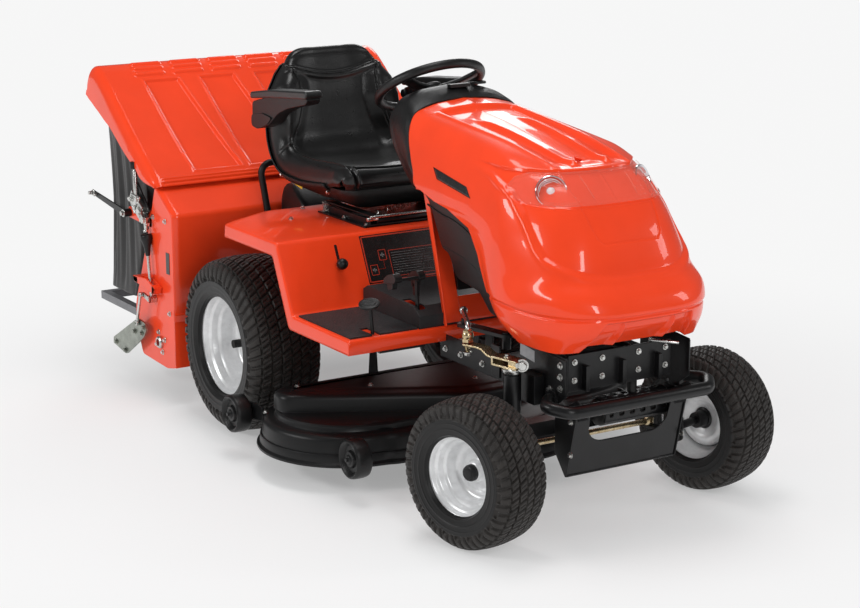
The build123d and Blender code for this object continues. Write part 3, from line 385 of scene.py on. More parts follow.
P = np.zeros((13, 13, 3))
for i in range(13):
    for j in range(13): P[i, j] = (-30 + 5 * i, -30 + 5 * j, -.0005)
fv, ff = g_grid(P)
fme = bpy.data.meshes.new("floor"); fme.from_pydata([tuple(q) for q in fv], [], ff)
floor = bpy.data.objects.new("floor", fme); scene.collection.objects.link(floor)
fm, fn_, fl_, fb_ = nt("studio_floor")
ftc = fn_.new("ShaderNodeTexCoord"); fns = fn_.new("ShaderNodeTexNoise"); fns.inputs["Scale"].default_value = .6
fr_ = fn_.new("ShaderNodeValToRGB"); fr_.color_ramp.elements[0].color = (.885, .885, .885, 1); fr_.color_ramp.elements[1].color = (.895, .895, .895, 1)
fl_.new(ftc.outputs["Object"], fns.inputs["Vector"]); fl_.new(fns.outputs["Fac"], fr_.inputs["Fac"]); fl_.new(fr_.outputs["Color"], fb_.inputs["Base Color"])
fb_.inputs["Roughness"].default_value = .9; fb_.inputs["Specular IOR Level"].default_value = .0
fvl = fn_.new("ShaderNodeVectorMath"); fvl.operation = "LENGTH"; fl_.new(ftc.outputs["Object"], fvl.inputs[0])
fmr = fn_.new("ShaderNodeMapRange"); fmr.interpolation_type = "SMOOTHSTEP"
fmr.inputs["From Min"].default_value = .7; fmr.inputs["From Max"].default_value = 2.6; fmr.inputs["To Min"].default_value = .34
fl_.new(fvl.outputs["Value"], fmr.inputs["Value"])
fem = fn_.new("ShaderNodeEmission"); fem.inputs["Color"].default_value = (.925, .925, .925, 1); fem.inputs["Strength"].default_value = 1.0
fmx = fn_.new("ShaderNodeMixShader"); fo_ = next(x for x in fn_ if x.type == "OUTPUT_MATERIAL")
fl_.new(fmr.outputs["Result"], fmx.inputs[0]); fl_.new(fb_.outputs[0], fmx.inputs[1]); fl_.new(fem.outputs[0], fmx.inputs[2]); fl_.new(fmx.outputs[0], fo_.inputs["Surface"])
fme.materials.append(fm)


# ------------------------------------------------------------------ bonnet
LEV = [
    [(-30, 235, 519), (10, 250, 519), (92, 244, 519), (150, 214, 519), (172, 112, 519), (176, 0, 519)],
    [(-92, 262, 580), (-10, 284, 580), (97, 262, 580), (185, 214, 580), (232, 110, 580), (238, 0, 580)],
    [(-126, 266, 622), (-20, 286, 622), (98, 262, 622), (192, 212, 622), (248, 110, 622), (254, 0, 622)],
    [(-176, 262, 704), (-60, 277, 704), (52, 256, 704), (142, 204, 704), (190, 105, 704), (196, 0, 704)],
    [(-250, 254, 760), (-76, 270, 760), (26, 249, 760), (122, 196, 760), (170, 100, 760), (175, 0, 760)],
    [(-300, 248, 805), (-90, 262, 805), (0, 242, 805), (102, 188, 805), (150, 95, 805), (154, 0, 805)],
    [(-545, 238, 852), (-110, 252, 852), (-12, 230, 852), (76, 178, 852), (122, 92, 852), (126, 0, 852)],
    [(-574, 230, 890), (-130, 243, 890), (-32, 218, 890), (56, 164, 890), (92, 92, 890), (96, 0, 890)],
    [(-606, 219, 930), (-150, 231, 930), (-58, 206, 930), (18, 152, 930), (48, 90, 930), (51, 0, 930)],
    [(-640, 203, 985), (-175, 213, 962), (-92, 188, 963), (-24, 134, 964), (0, 86, 965), (4, 0, 966)],
    [(-655, 180, 1032), (-190, 182, 992), (-118, 158, 984), (-58, 118, 977), (-24, 76, 973), (-16, 0, 972)],
    [(-662, 120, 1058), (-245, 118, 1013), (-175, 104, 1001), (-112, 80, 990), (-82, 50, 985), (-72, 0, 982)],
    [(-668, 0, 1072), (-310, 0, 1026), (-230, 0, 1012), (-165, 0, 1000), (-115, 0, 991), (-92, 0, 987)]]
TC = np.array([0, .42, .56, .72, .88, 1.]); KV = np.array([0, 1, 1.7, 3, 4, 4.8, 5.8, 6.6, 7.4, 8.3, 9.1, 10.3, 12.0])


def arch_x(z):
    """rear edge of the bonnet side, where it curves over the side panel"""
    return np.interp(z, [.508, .547, .609, .725, .787, .820, .829, .85], [-.041, -.083, -.121, -.192, -.252, -.367, -.44, -.53])


def bonnet_base(nt_=260, nv=300):
    L = np.array(LEV, float) / 1000; tt = np.linspace(0, 1, nt_)
    rows = np.array([herm(tt, TC, q, True) for q in L]); vv = np.linspace(0, KV[-1], nv)
    out = np.zeros((nv, nt_, 3))
    for j in range(nt_): out[:, j] = herm(vv, KV, rows[:, j])
    # rear edge follows the arch exactly
    z = out[:, 0, 2]; sel = z < .85
    dx = np.where(sel, arch_x(z) - out[:, 0, 0], 0)[:, None]
    out[:, :, 0] += dx * np.clip(1 - tt / .35, 0, 1)[None] ** 1.5
    return out, vv, tt


def grid_normals(S):
    du = np.gradient(S, axis=0); dv = np.gradient(S, axis=1); n = np.cross(dv, du); L = np.linalg.norm(n, axis=2, keepdims=True)
    n = n / np.maximum(L, 1e-12)
    c = S - np.array([-.2, 0, .7]); s = np.sign((n * c).sum(2).mean()); return n * s


BS, BVV, BTT = bonnet_base()
BN = grid_normals(BS)
ARC = np.array([(-.33, .972), (-.289, .958), (-.182, .946), (-.086, .912), (-.021, .857), (.041, .785), (.074, .758), (.121, .738), (.167, .718), (.192, .711), (.27, .709)])


def bonnet_detail(S, N):
    x, y, z = S[..., 0], np.abs(S[..., 1]), S[..., 2]
    D = np.zeros(x.shape)
    # front face set back inside the arched ridge
    za = np.interp(x, ARC[:, 0], ARC[:, 1]); sl = np.gradient(ARC[:, 1], ARC[:, 0]); s = np.interp(x, ARC[:, 0], sl)
    dist = (z - za) / np.sqrt(1 + s * s)
    amp = .0085 * sstep(-.30, -.12, x) * np.where(z > .975, 0, 1)
    D -= amp * sstep(-.002, .013, dist) * np.where(z < .968, 1, 0)
    D += .0022 * np.exp(-((dist + .006) / .007) ** 2) * sstep(-.28, -.16, x) * (1 - sstep(.10, .2, x) * .4)
    D += .010 * sstep(.055, .0, np.abs(z - .668)) * sstep(.03, .16, x)       # chin stands out
    # groove that separates the lower lip
    zg = np.interp(x, [-.15, .0, .1, .21, .25], [.628, .623, .617, .619, .622])
    D -= .0065 * np.exp(-((z - zg) / .0042) ** 2)
    D -= .003 * sstep(zg, zg - .004, z)
    # lip centre is set back between the two corner creases, with small wedge ribs
    yc = np.interp(z, [.519, .543, .615], [.170, .158, .137])
    inn = sstep(yc + .004, yc - .006, y) * sstep(.612, .596, z) * np.where(x > .1, 1, 0)
    D -= .014 * inn
    for yw in (.082,):
        hw = np.interp(z, [.535, .60], [.020, .001]); D += .012 * inn * np.clip(1 - np.abs(y - yw) / hw, 0, 1)
    # inset panel on the front face
    pz = np.interp(y, [0, .08, .098, .106, .115], [.800, .802, .812, .83, .89]); dd = np.minimum(np.abs(z - pz), 9)
    fr = np.where((x > .05) & (y < .125), 1, 0)
    yp = np.interp(z, [.80, .812, .83, .89], [.085, .099, .106, .1155])
    inside = np.minimum(yp - y, z - .801); band = np.where((z < .893), 1, 0)
    D -= fr * band * (.0028 * np.exp(-(inside / .0028) ** 2) + .0018 * sstep(0, .006, inside))
    # scoop on top: raised rails, sunken tray and two inner ridges
    top = sstep(.955, .968, z) * np.where(BTOP, 1, 0)
    yo = np.interp(x, [-.6, -.45, -.01], [.128, .126, .112]); rear = sstep(-.605, -.585, x); front = 1 - sstep(-.10, -.012, x)
    tray = sstep(yo, yo - .016, y) * rear * front * top
    D -= .013 * tray
    D += .0035 * np.exp(-((y - yo - .006) / .008) ** 2) * rear * sstep(0, -.02, x + .0) * top
    yi = np.interp(x, [-.5, -.03], [.068, .054])
    D += .0135 * np.exp(-((y - yi) / .011) ** 2) * sstep(-.52, -.40, x) * (1 - sstep(-.05, -.02, x)) * top
    D -= .005 * np.exp(-(y / .030) ** 2) * sstep(-.46, -.3, x) * (1 - sstep(-.10, -.03, x)) * top
    # bed of the lens band
    D -= .0035 * LENSMASK
    return S + N * D[..., None]


BTOP = np.broadcast_to((BVV[:, None] > 8.3), BS.shape[:2])


def near_tv(x, y, z):
    d2 = ((BS - np.array([x, abs(y), z])) ** 2).sum(2); k = np.unravel_index(np.argmin(d2), d2.shape); return np.array([k[1], k[0]], float)


LT = [near_tv(*q) for q in ((-.104, .224, .928), (-.098, .205, .951), (-.074, .178, .9635), (-.017, .117, .9665), (-.002, .08, .9665), (.004, 0, .9665))]
LB = [near_tv(*q) for q in ((-.104, .226, .918), (-.085, .226, .898), (-.03, .217, .8875), (.041, .177, .889), (.085, .116, .8905), (.095, 0, .8905))]
LA = np.array([0, .08, .25, .62, .78, 1.])
LTv = np.array([[np.interp(a, [0, .08, .25, .62, .78, 1.], [q[k] for q in LT]) for k in (0, 1)] for a in np.linspace(0, 1, 61)])
LBv = np.array([[np.interp(a, [0, .05, .2, .45, .62, 1.], [q[k] for q in LB]) for k in (0, 1)] for a in np.linspace(0, 1, 61)])
jj, ii = np.meshgrid(np.arange(BS.shape[1]), np.arange(BS.shape[0]))
_top = np.interp(jj[0], LTv[:, 0], LTv[:, 1]); _bot = np.interp(jj[0], LBv[:, 0], LBv[:, 1])
_in = (jj >= min(LTv[0, 0], LBv[0, 0])) & (ii <= _top[None]) & (ii >= _bot[None])
LENSMASK = _in.astype(float)
for _ in range(3):
    LENSMASK = (LENSMASK + np.roll(LENSMASK, 1, 0) + np.roll(LENSMASK, -1, 0) + np.roll(LENSMASK, 1, 1) + np.roll(LENSMASK, -1, 1)) / 5
LENSMASK = np.where(_in, np.maximum(LENSMASK, .0), LENSMASK * .5)

BD = bonnet_detail(BS, BN)
# the lip's lower edge is cut up between its corners
zmin = np.where((np.abs(BS[..., 1]) < .158) & (BS[..., 0] > .1), .534, .519)
BD[..., 2] = np.maximum(BD[..., 2], zmin)


def half_to_full(S):
    m = (S * [1, -1, 1])[:, ::-1]; return np.concatenate([S, m[:, 1:]], axis=1)


BF = half_to_full(BD); BF[..., 0] += FX
v, f = g_grid(BF)
# close the spine: both halves share the last ring
n, m = BF.shape[:2]
bon = make("bonnet_skin", (v, f), RED, "bonnet_body", "bonnet", angle=180, solid=.003, offset=-1, weld=True)


def bil(A, t, vv_):
    t = np.clip(t, 0, A.shape[1] - 1.001); vv_ = np.clip(vv_, 0, A.shape[0] - 1.001)
    i, j = int(vv_), int(t); a, b = vv_ - i, t - j
    return (1 - a) * (1 - b) * A[i, j] + (1 - a) * b * A[i, j + 1] + a * (1 - b) * A[i + 1, j] + a * b * A[i + 1, j + 1]


def lens_patch(a0, a1, b0, b1, na, nb, off, rib=0., ribs=10):
    P = np.zeros((nb, na, 3))
    for k in range(nb):
        b = b0 + (b1 - b0) * k / (nb - 1)
        for q in range(na):
            a = a0 + (a1 - a0) * q / (na - 1); tl = [np.interp(a, np.linspace(0, 1, 61), LTv[:, c]) for c in (0, 1)]; bl = [np.interp(a, np.linspace(0, 1, 61), LBv[:, c]) for c in (0, 1)]
            t = bl[0] + (tl[0] - bl[0]) * b; w_ = bl[1] + (tl[1] - bl[1]) * b
            o = off + (rib * max(0, math.sin(math.pi * ((b * ribs) % 1))) if rib else 0)
            P[k, q] = bil(BS, t, w_) + bil(BN, t, w_) * (o - .0085 * sstep(-.1, .0, 0) * 0)
    P[..., 0] += FX
    return P


# the bed follows the set-back face, the lens stands a little proud of it
BEDOFF = -.0085
for s, tag in ((1, "left"), (-1, "right")):
    P = lens_patch(0.0, .615, 0.02, .98, 50, 24, -.004) * [1, s, 1]
    make("lamp_lens_" + tag, g_grid(P), LENS, "bonnet_body", "headlight_lens", angle=60, solid=.0022, offset=0)
Pg = lens_patch(.625, 1., 0.03, .97, 40, 120, -.0052, .0028, 9)
Pg = np.concatenate([Pg, (Pg * [1, -1, 1])[:, ::-1][:, 1:]], axis=1)
make("lens_grille", g_grid(Pg), LENS, "bonnet_body", "headlight_lens", angle=60, solid=.0016, offset=0)
# raised rim round each lens, prismatic strips along its lower edge and two upright marks in the grille


def on_lens(a, b, off, s=1):
    tl = [np.interp(a, np.linspace(0, 1, 61), LTv[:, c]) for c in (0, 1)]; bl = [np.interp(a, np.linspace(0, 1, 61), LBv[:, c]) for c in (0, 1)]
    t = bl[0] + (tl[0] - bl[0]) * b; w_ = bl[1] + (tl[1] - bl[1]) * b; p = bil(BS, t, w_) + bil(BN, t, w_) * off
    return (p * [1, s, 1]) + [FX, 0, 0]


gs = []
for s in (1, -1):
    loop = [on_lens(a, 0.01, -.003, s) for a in np.linspace(.0, .615, 22)] + [on_lens(.615, b, -.003, s) for b in np.linspace(.1, .9, 6)] + [on_lens(a, .99, -.003, s) for a in np.linspace(.615, .0, 22)]
    gs.append(g_sweep(loop, [(.0014 * math.cos(k), .0014 * math.sin(k)) for k in np.linspace(0, 2 * math.pi, 9)[:-1]], True))
    for a in np.linspace(.36, .60, 17):
        gs.append(g_sweep([on_lens(a, .03, -.0035, s), on_lens(a, .11, -.0035, s)], [(.0014, 0), (0, .0014), (-.0014, 0), (0, -.0014)]))
    for a in (.80,):
        gs.append(g_sweep([on_lens(a, b, -.002, s) for b in (.18, .5, .82)], [(.002, 0), (0, .002), (-.002, 0), (0, -.002)]))
    for b in (.5,):
        gs.append(g_sweep([on_lens(a, .98, -.0035, s) for a in np.linspace(.62, 1, 14)], [(.0014, 0), (0, .0014), (-.0014, 0), (0, -.0014)]))
        gs.append(g_sweep([on_lens(a, .02, -.0035, s) for a in np.linspace(.62, 1, 14)], [(.0014, 0), (0, .0014), (-.0014, 0), (0, -.0014)]))
make("lens_beads", merge(*gs), LENS, "bonnet_body", "headlight_lens", angle=50)
gs = []; gb = []
for s in (1, -1):
    # round reflector, bezel and bulb
    o = V(.008, -.160, .922) if s < 0 else V(.000, .150, .922); ax = unit([.80, s * .22 + s * .22, .30])
    o = o - ax * .006
    gs.append(g_rev([(-.026, 0), (-.025, .012), (-.02, .024), (-.010, .033), (0, .037), (.003, .039), (.005, .0405), (.004, .042), (-.004, .042), (-.02, .036)], o, ax, 48))
    gb.append(g_rev([(-.018, .006), (-.012, .011), (-.004, .0125), (.003, .009), (.006, .004), (.0065, .0)], o, ax, 28))
    for k in range(5):
        rr = .015 + k * .0045; h = -.024 + k * .0042
        gb.append(g_rev([(h, rr), (h + .0012, rr + .0008), (h + .0016, rr + .0022)], o, ax, 36))
make("lamp_reflectors", merge(*gs), CHROME, "bonnet_body", "headlamps", angle=50)
make("lamp_bulbs", merge(*gb), BULB, "bonnet_body", "headlamps", angle=50)
# plain blank plate on the right and left flanks
for s, tag in ((-1, "right"), (1, "left")):
    pts = [(-.468, .920), (-.279, .8955), (-.249, .869), (-.437, .8915)]
    P = np.zeros((6, 16, 3))
    for i in range(6):
        for j in range(16):
            a, b = j / 15, i / 5
            x_ = (1 - b) * ((1 - a) * pts[0][0] + a * pts[1][0]) + b * ((1 - a) * pts[3][0] + a * pts[2][0]); z_ = (1 - b) * ((1 - a) * pts[0][1] + a * pts[1][1]) + b * ((1 - a) * pts[3][1] + a * pts[2][1])
            dd = (BS[:, :150, 0] - x_) ** 2 + (BS[:, :150, 2] - z_) ** 2; k = np.unravel_index(np.argmin(dd), dd.shape)
            wgt = np.exp(-dd / 2e-5); wgt /= wgt.sum(); yy = (BS[:, :150, 1] * wgt).sum()
            P[i, j] = (x_ + FX, s * (yy + .0012), z_)
    make("blank_plate_" + tag, g_grid(P), STICK_AND_SLOT_SHADE, "bonnet_body", "bonnet", angle=60, solid=.001, offset=0)


# ------------------------------------------------------------------ wheels
def fast(name, P, mats, body, nodes, wrap_u=True, angle=40, face_mat=None):
    n, m = P.shape[:2]; me = bpy.data.meshes.new(name)
    i = np.arange(n if wrap_u else n - 1)[:, None]; j = np.arange(m - 1)[None]
    i2 = (i + 1) % n
    q = np.stack([i * m + j, i * m + j + 1, i2 * m + j + 1, i2 * m + j], -1).reshape(-1, 4).astype(np.int32)
    me.vertices.add(n * m); me.vertices.foreach_set("co", P.reshape(-1).astype(np.float32))
    me.loops.add(q.size); me.loops.foreach_set("vertex_index", q.reshape(-1))
    me.polygons.add(len(q)); me.polygons.foreach_set("loop_start", np.arange(0, q.size, 4, dtype=np.int32)); me.polygons.foreach_set("loop_total", np.full(len(q), 4, np.int32))
    for mt in mats: me.materials.append(mt)
    if face_mat is not None:
        me.polygons.foreach_set("material_index", np.broadcast_to(face_mat[None], (i.shape[0], m - 1)).reshape(-1).astype(np.int32))
    me.update(calc_edges=True); me.validate(); me.shade_smooth()
    if angle < 180: me.set_sharp_from_angle(angle=math.radians(angle))
    ob = bpy.data.objects.new(name, me); scene.collection.objects.link(ob)
    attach(ob, body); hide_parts(*nodes)
    return ob


def tyre(name, o, nrm, R, W, rim, body, node, pitches, rows, seed):
    """turf tyre: brick-laid slanted lugs over a crowned tread, shoulder lugs that wrap down the sidewall"""
    h = W / 2; e1, e2, d = basis(nrm)
    prof = [(-h * .80, rim), (-h * .93, rim + .010), (-h * .985, rim + (R - rim) * .30), (-h * 1.0, rim + (R - rim) * .52), (-h * .975, R - h * .36), (-h * .90, R - h * .19),
            (-h * .78, R - h * .095), (-h * .50, R - h * .035), (-h * .2, R - h * .008), (0, R)]
    prof = prof + [(-a, b) for a, b in prof[:-1]][::-1]
    pr = np.array(prof); s = np.concatenate([[0], np.cumsum(np.linalg.norm(np.diff(pr, axis=0), axis=1))]); S = s[-1]
    m = int(S / (.0021 if W < .2 else .0026)); ss = np.linspace(0, S, m); pp = herm(ss, s, pr)
    tn = np.gradient(pp, axis=0); tn /= np.linalg.norm(tn, axis=1, keepdims=True); nn = np.stack([-tn[:, 1], tn[:, 0]], 1)
    c = ss - S / 2; tread = h * 1.02; K = 12; n = pitches * K; TH = np.arange(n) / n * 2 * math.pi
    L = 2 * math.pi * R; pitch = L / pitches; depth = .0062 if W < .2 else .0085
    arc = (TH / (2 * math.pi) * L)[:, None]; cc = c[None]; half = tread * .80; rw = 2 * half / rows
    ri = np.clip(np.floor((cc + half) / rw), 0, rows - 1); lv = (cc + half) / rw - ri
    slant = np.where(ri % 2 == 0, .55, .55) * (lv - .5) * rw
    uu = ((arc + slant + (ri % 2) * pitch / 2 + ri * pitch * .17) % pitch) / pitch
    e = .09
    blk = sstep(.055, .055 + e, uu) * sstep(.945, .945 - e, uu) * sstep(.03, .10, lv) * sstep(.97, .90, lv)
    slot = .42 * sstep(.075, .035, np.abs(uu - .5)) * sstep(.14, .24, lv) * sstep(.86, .76, lv)
    inner = (blk - slot * blk) * (np.abs(cc) < half)
    # shoulder lugs: bars that run from the tread edge down the sidewall
    ac = np.abs(cc); sh_end = h * 1.30; sidx = np.where(cc > 0, .25, .0)
    us = ((arc * 1.0 + .35 * (ac - half) * np.sign(cc) + sidx * pitch) % pitch) / pitch; us2 = us
    bar = sstep(.10, .22, us2) * sstep(.90, .78, us2) * sstep(half, half + .003, ac) * sstep(sh_end + .006, sh_end - .004, ac)
    stagger = np.where((np.floor((arc + sidx * pitch) / pitch) % 2) == 0, 1, sstep(sh_end - .004, sh_end - .013, ac))
    D = depth * inner + depth * .9 * bar * stagger - depth * .95 * (ac < sh_end + .004) * sstep(sh_end + .006, sh_end - .002, ac)
    # sidewall rings
    D = D + .0014 * np.exp(-((ac - (S / 2 - .030)) / .002) ** 2) + .001 * np.exp(-((ac - (S / 2 - .045)) / .0015) ** 2) + .0022 * np.exp(-((ac - (S / 2 - .012)) / .003) ** 2)
    aa = pp[:, 0][None] + nn[:, 0][None] * D; rr = pp[:, 1][None] + nn[:, 1][None] * D
    rr = np.minimum(rr, R)
    P = np.asarray(o)[None, None] + d * aa[..., None] + (np.cos(TH)[:, None, None] * e1 + np.sin(TH)[:, None, None] * e2) * rr[..., None]
    fm_ = (np.abs(c[:-1]) > sh_end + .002).astype(int)
    return fast(name, P, [TYRE, SIDE], body, [node], angle=38, face_mat=fm_)


def rim_piece(name, o, nrm, prof, body, node, extra):
    e1, e2, d = basis(nrm); pr = np.array(prof); s = np.concatenate([[0], np.cumsum(np.linalg.norm(np.diff(pr, axis=0), axis=1))])
    g = [g_rev([tuple(q) for q in pr], o, nrm, 96)]
    ob = make(name, merge(*g), RIM, body, node, angle=50, solid=.0024, offset=-1)
    for nm, gg, mt in extra: make(name + "_" + nm, gg, mt, body, node, angle=40)
    return ob


a0 = math.radians(12.9)
for tag, s in (("right", -1), ("left", 1)):
    o = V(-s * .031478, s * .410441, .203); nrm = np.array([-s * math.sin(a0), s * math.cos(a0), 0]); bt = "front_wheel_" + tag[0]
    tyre("front_tread_" + tag, o, nrm, .203, .162, .106, bt, "front_tyre_" + tag, 46, 5, 1)
    F = [(.063, .1175), (.0655, .1205), (.0665, .1225), (.0645, .1235), (.0615, .1215), (.0605, .117), (.0600, .110), (.057, .1065), (.047, .1055), (.0445, .1035), (.0425, .0985), (.040, .0965), (.026, .0945), (.0235, .0925), (.021, .0875),
         (.018, .0855), (.004, .0835), (-.006, .081), (-.013, .074), (-.0155, .064), (-.0150, .054), (-.012, .0505), (-.010, .047), (-.010, .034), (-.006, .030), (.002, .0275), (.006, .0255), (.0075, .021), (.0075, .008)]
    cap = g_rev([(.006, .0215), (.008, .0225), (.020, .0222), (.023, .0205), (.026, .0195), (.0275, .0165), (.030, .0155), (.0315, .011), (.0318, 0)], o, nrm, 40)
    e1, e2, dd_ = basis(nrm); vd = unit(.2 * e1 + 1 * np.cross(nrm, e1)) if False else unit(np.array([0, 0, 1.]) * .82 + np.cross(nrm, [0, 0, 1.]) * (.35 * s))
    vp = o + vd * .066 + nrm * -.012
    valve = merge(g_rod(vp, vp + nrm * .020 + vd * .003, .0042), g_rod(vp + nrm * .018 + vd * .0028, vp + nrm * .030 + vd * .0045, .0048))
    rim_piece("front_rim_dish_" + tag, o, nrm, F, bt, "front_rim_" + tag, [("cap", cap, SATIN), ("valve", valve, DARK)])
    back = g_rev([(-.062, .118), (-.064, .1215), (-.060, .119), (-.058, .108), (-.045, .1055), (-.02, .098), (.0, .086)], o, nrm, 80)
    make("front_rim_back_" + tag, back, RIM, bt, "front_rim_" + tag, angle=50, solid=.002, offset=-1)
    hub = g_rev([(-.045, .0), (-.045, .021), (-.042, .023), (-.01, .024), (-.008, .03), (-.006, .031)], o, nrm, 36)
    make("front_hub_tube_" + tag, hub, BLK, bt, "front_rim_" + tag, angle=50)
    o = V(-1.235, s * .417, .272); nrm = np.array([0, float(s), 0]); bt = "rear_wheel_" + tag[0]
    tyre("rear_tread_" + tag, o, nrm, .272, .239, .152, bt, "rear_tyre_" + tag, 50, 6, 2)
    F = [(.095, .165), (.0975, .168), (.0985, .1705), (.0965, .172), (.093, .170), (.0915, .165), (.091, .157), (.088, .153), (.075, .1515), (.072, .149), (.069, .143), (.066, .141), (.050, .139), (.046, .136), (.042, .131), (.038, .129),
         (.006, .127), (-.006, .124), (-.013, .117), (-.0155, .107), (-.0145, .092), (-.012, .088), (-.011, .080), (-.013, .045), (-.010, .038), (-.004, .034), (.004, .033), (.005, .012)]
    vp = o + unit([.92, 0, -.35]) * .113 + nrm * -.014
    valve = merge(g_rod(vp, vp + nrm * .022, .0045), g_rod(vp + nrm * .02, vp + nrm * .034, .005))
    nuts = merge(*[g_bolt(o + nrm * -.0115 + np.array([math.cos(k), 0, math.sin(k)]) * .060, nrm, .009) for k in np.arange(5) * 2 * math.pi / 5])
    axle = g_rev([(.004, .012), (.022, .012), (.024, .0105), (.024, 0)], o, nrm, 24)
    rim_piece("rear_rim_dish_" + tag, o, nrm, F, bt, "rear_rim_" + tag, [("valve", valve, DARK), ("nuts", merge(nuts, axle), STEEL)])
    back = g_rev([(-.090, .165), (-.094, .170), (-.090, .168), (-.087, .155), (-.07, .150), (-.03, .140), (.0, .1275)], o, nrm, 80)
    make("rear_rim_back_" + tag, back, RIM, bt, "rear_rim_" + tag, angle=50, solid=.002, offset=-1)
    hub = g_rev([(-.10, .0), (-.10, .03), (-.097, .034), (-.02, .036), (-.016, .05), (-.013, .052)], o, nrm, 36)
    make("rear_hub_tube_" + tag, hub, BLK, bt, "rear_rim_" + tag, angle=50)


# ------------------------------------------------------------------ mowing deck
def outline(pts_c, n=240):
    """hull-like outline of circles (x, y, r): radial support from a centre"""
    c = np.array([-.69, 0.]); out = []
    for k in range(n):
        a = 2 * math.pi * k / n; d_ = np.array([math.cos(a), math.sin(a)]); best = 0
        for x, y, rr in pts_c:
            q = np.array([x, y]) - c; b_ = q @ d_; disc = rr * rr - (q @ q - b_ * b_)
            if disc >= 0: best = max(best, b_ + math.sqrt(disc))
        out.append(best)
    return np.array(out)


def deck_radius(off):
    n = 288; c = np.array([-.72, 0.]); out = np.zeros(n)
    for k in range(n):
        a = 2 * math.pi * (k + .5) / n; d_ = np.array([math.cos(a), math.sin(a)]); t = 0
        for x, y, rr in ((-.730, -.370, .258), (-.730, .370, .258), (-.560, 0, .280)):
            q = np.array([x, y]) - c; b_ = q @ d_; disc = (rr + off) ** 2 - (q @ q - b_ * b_)
            if disc >= 0: t = max(t, b_ + math.sqrt(disc))
        # rectangular middle
        hx0, hx1, hy = -.95 - c[0] - off, -.46 - c[0] + off, .37
        for num, den, lim in ((hx1, d_[0], None), (hx0, d_[0], None)):
            if abs(den) > 1e-9 and num / den > 0 and abs(d_[1] * num / den) <= hy: t = max(t, num / den)
        if d_[0] < 0: t = min(t, hx0 / d_[0])
        out[k] = t
    for _ in range(3): out = (np.roll(out, 1) + 2 * out + np.roll(out, -1)) / 4
    return out


AN = 2 * math.pi * (np.arange(288) + .5) / 288
dprof = [(.0, .0785), (.0025, .0765), (.0035, .080), (.0025, .0835), (-.002, .086), (-.006, .089), (-.007, .108), (-.0085, .1115), (-.0125, .1135), (-.0135, .117), (-.0135, .148), (-.017, .156), (-.024, .161), (-.034, .1635), (-.046, .1645), (-.050, .167),
         (-.052, .172), (-.053, .180), (-.057, .1845), (-.066, .1865), (-.10, .187), (-.20, .1875), (-.24, .1875)]
rows_ = []
for off, z in dprof:
    rad = deck_radius(min(off, 0) if off < .003 else 0) + max(off, 0)
    if off < -.09: rad = deck_radius(-.09) * (1 - (abs(off) - .09) * 4.2)
    rows_.append(np.stack([-.72 + FX + rad * np.cos(AN), rad * np.sin(AN), np.full(288, z)], 1))
P = np.array(rows_)
make("deck_pressing", (lambda g: (g[0], g[1] + [list(range((len(dprof) - 1) * 288, len(dprof) * 288))]))(g_grid(P, False, True)), DECK, "deck", "deck_shell", angle=32, solid=.003, offset=-1)
# raised belt cover plateau, in the same black
cov = [(-.855, -.52), (-.83, -.56), (-.757, -.57), (-.672, -.42), (-.592, -.27), (-.49, -.08), (-.49, .08), (-.592, .27), (-.672, .42), (-.757, .57), (-.83, .56), (-.855, .52)]


def rounded(poly, rad, n=6):
    out = []; m = len(poly)
    for i in range(m):
        a, b, c = (np.array(poly[(i + k - 1) % m], float) for k in range(3)); u_, w_ = unit(a - b), unit(c - b)
        t = min(rad, .45 * np.linalg.norm(a - b), .45 * np.linalg.norm(c - b)); p0, p1 = b + u_ * t, b + w_ * t
        for k in range(n + 1):
            q = k / n; out.append((1 - q) ** 2 * p0 + 2 * q * (1 - q) * b + q * q * p1)
    return np.array(out)


RC = rounded(cov, .05); cen = RC.mean(0)
def inset(pts, dd):
    e = np.roll(pts, -1, 0) - np.roll(pts, 1, 0); nn_ = np.stack([-e[:, 1], e[:, 0]], 1); nn_ /= np.linalg.norm(nn_, axis=1, keepdims=True)
    sgn = np.sign(((cen - pts) * nn_).sum(1)); return pts + nn_ * sgn[:, None] * dd
lv_ = [(0, .186), (.0015, .188), (.003, .222), (.006, .230), (.012, .235), (.022, .2375), (.045, .2385), (.049, .2400), (.053, .2425), (.062, .2430)]
rows_ = [np.concatenate([inset(RC, a) + [FX, 0], np.full((len(RC), 1), z)], 1) for a, z in lv_]
gg = g_grid(np.array(rows_), False, True); gg[1].append([(len(lv_) - 1) * len(RC) + k for k in range(len(RC))])
make("belt_cover_pressing", gg, DECK, "deck", "belt_cover", angle=32)
gs = [g_bolt(V(x, y, .2430), (0, 0, 1), .006) for x, y in ((-.80, -.49), (-.80, .49), (-.60, 0.), (-.70, -.30), (-.70, .30))]
for s in (-1, 1):
    gs += [g_bolt(V(-.66, s * .50, .1645), (0, 0, 1), .006), g_bolt(V(-.85, s * .57, .1645), (0, 0, 1), .006)]
make("deck_bolts", merge(*gs), STEEL, "deck", "deck_shell", angle=30)
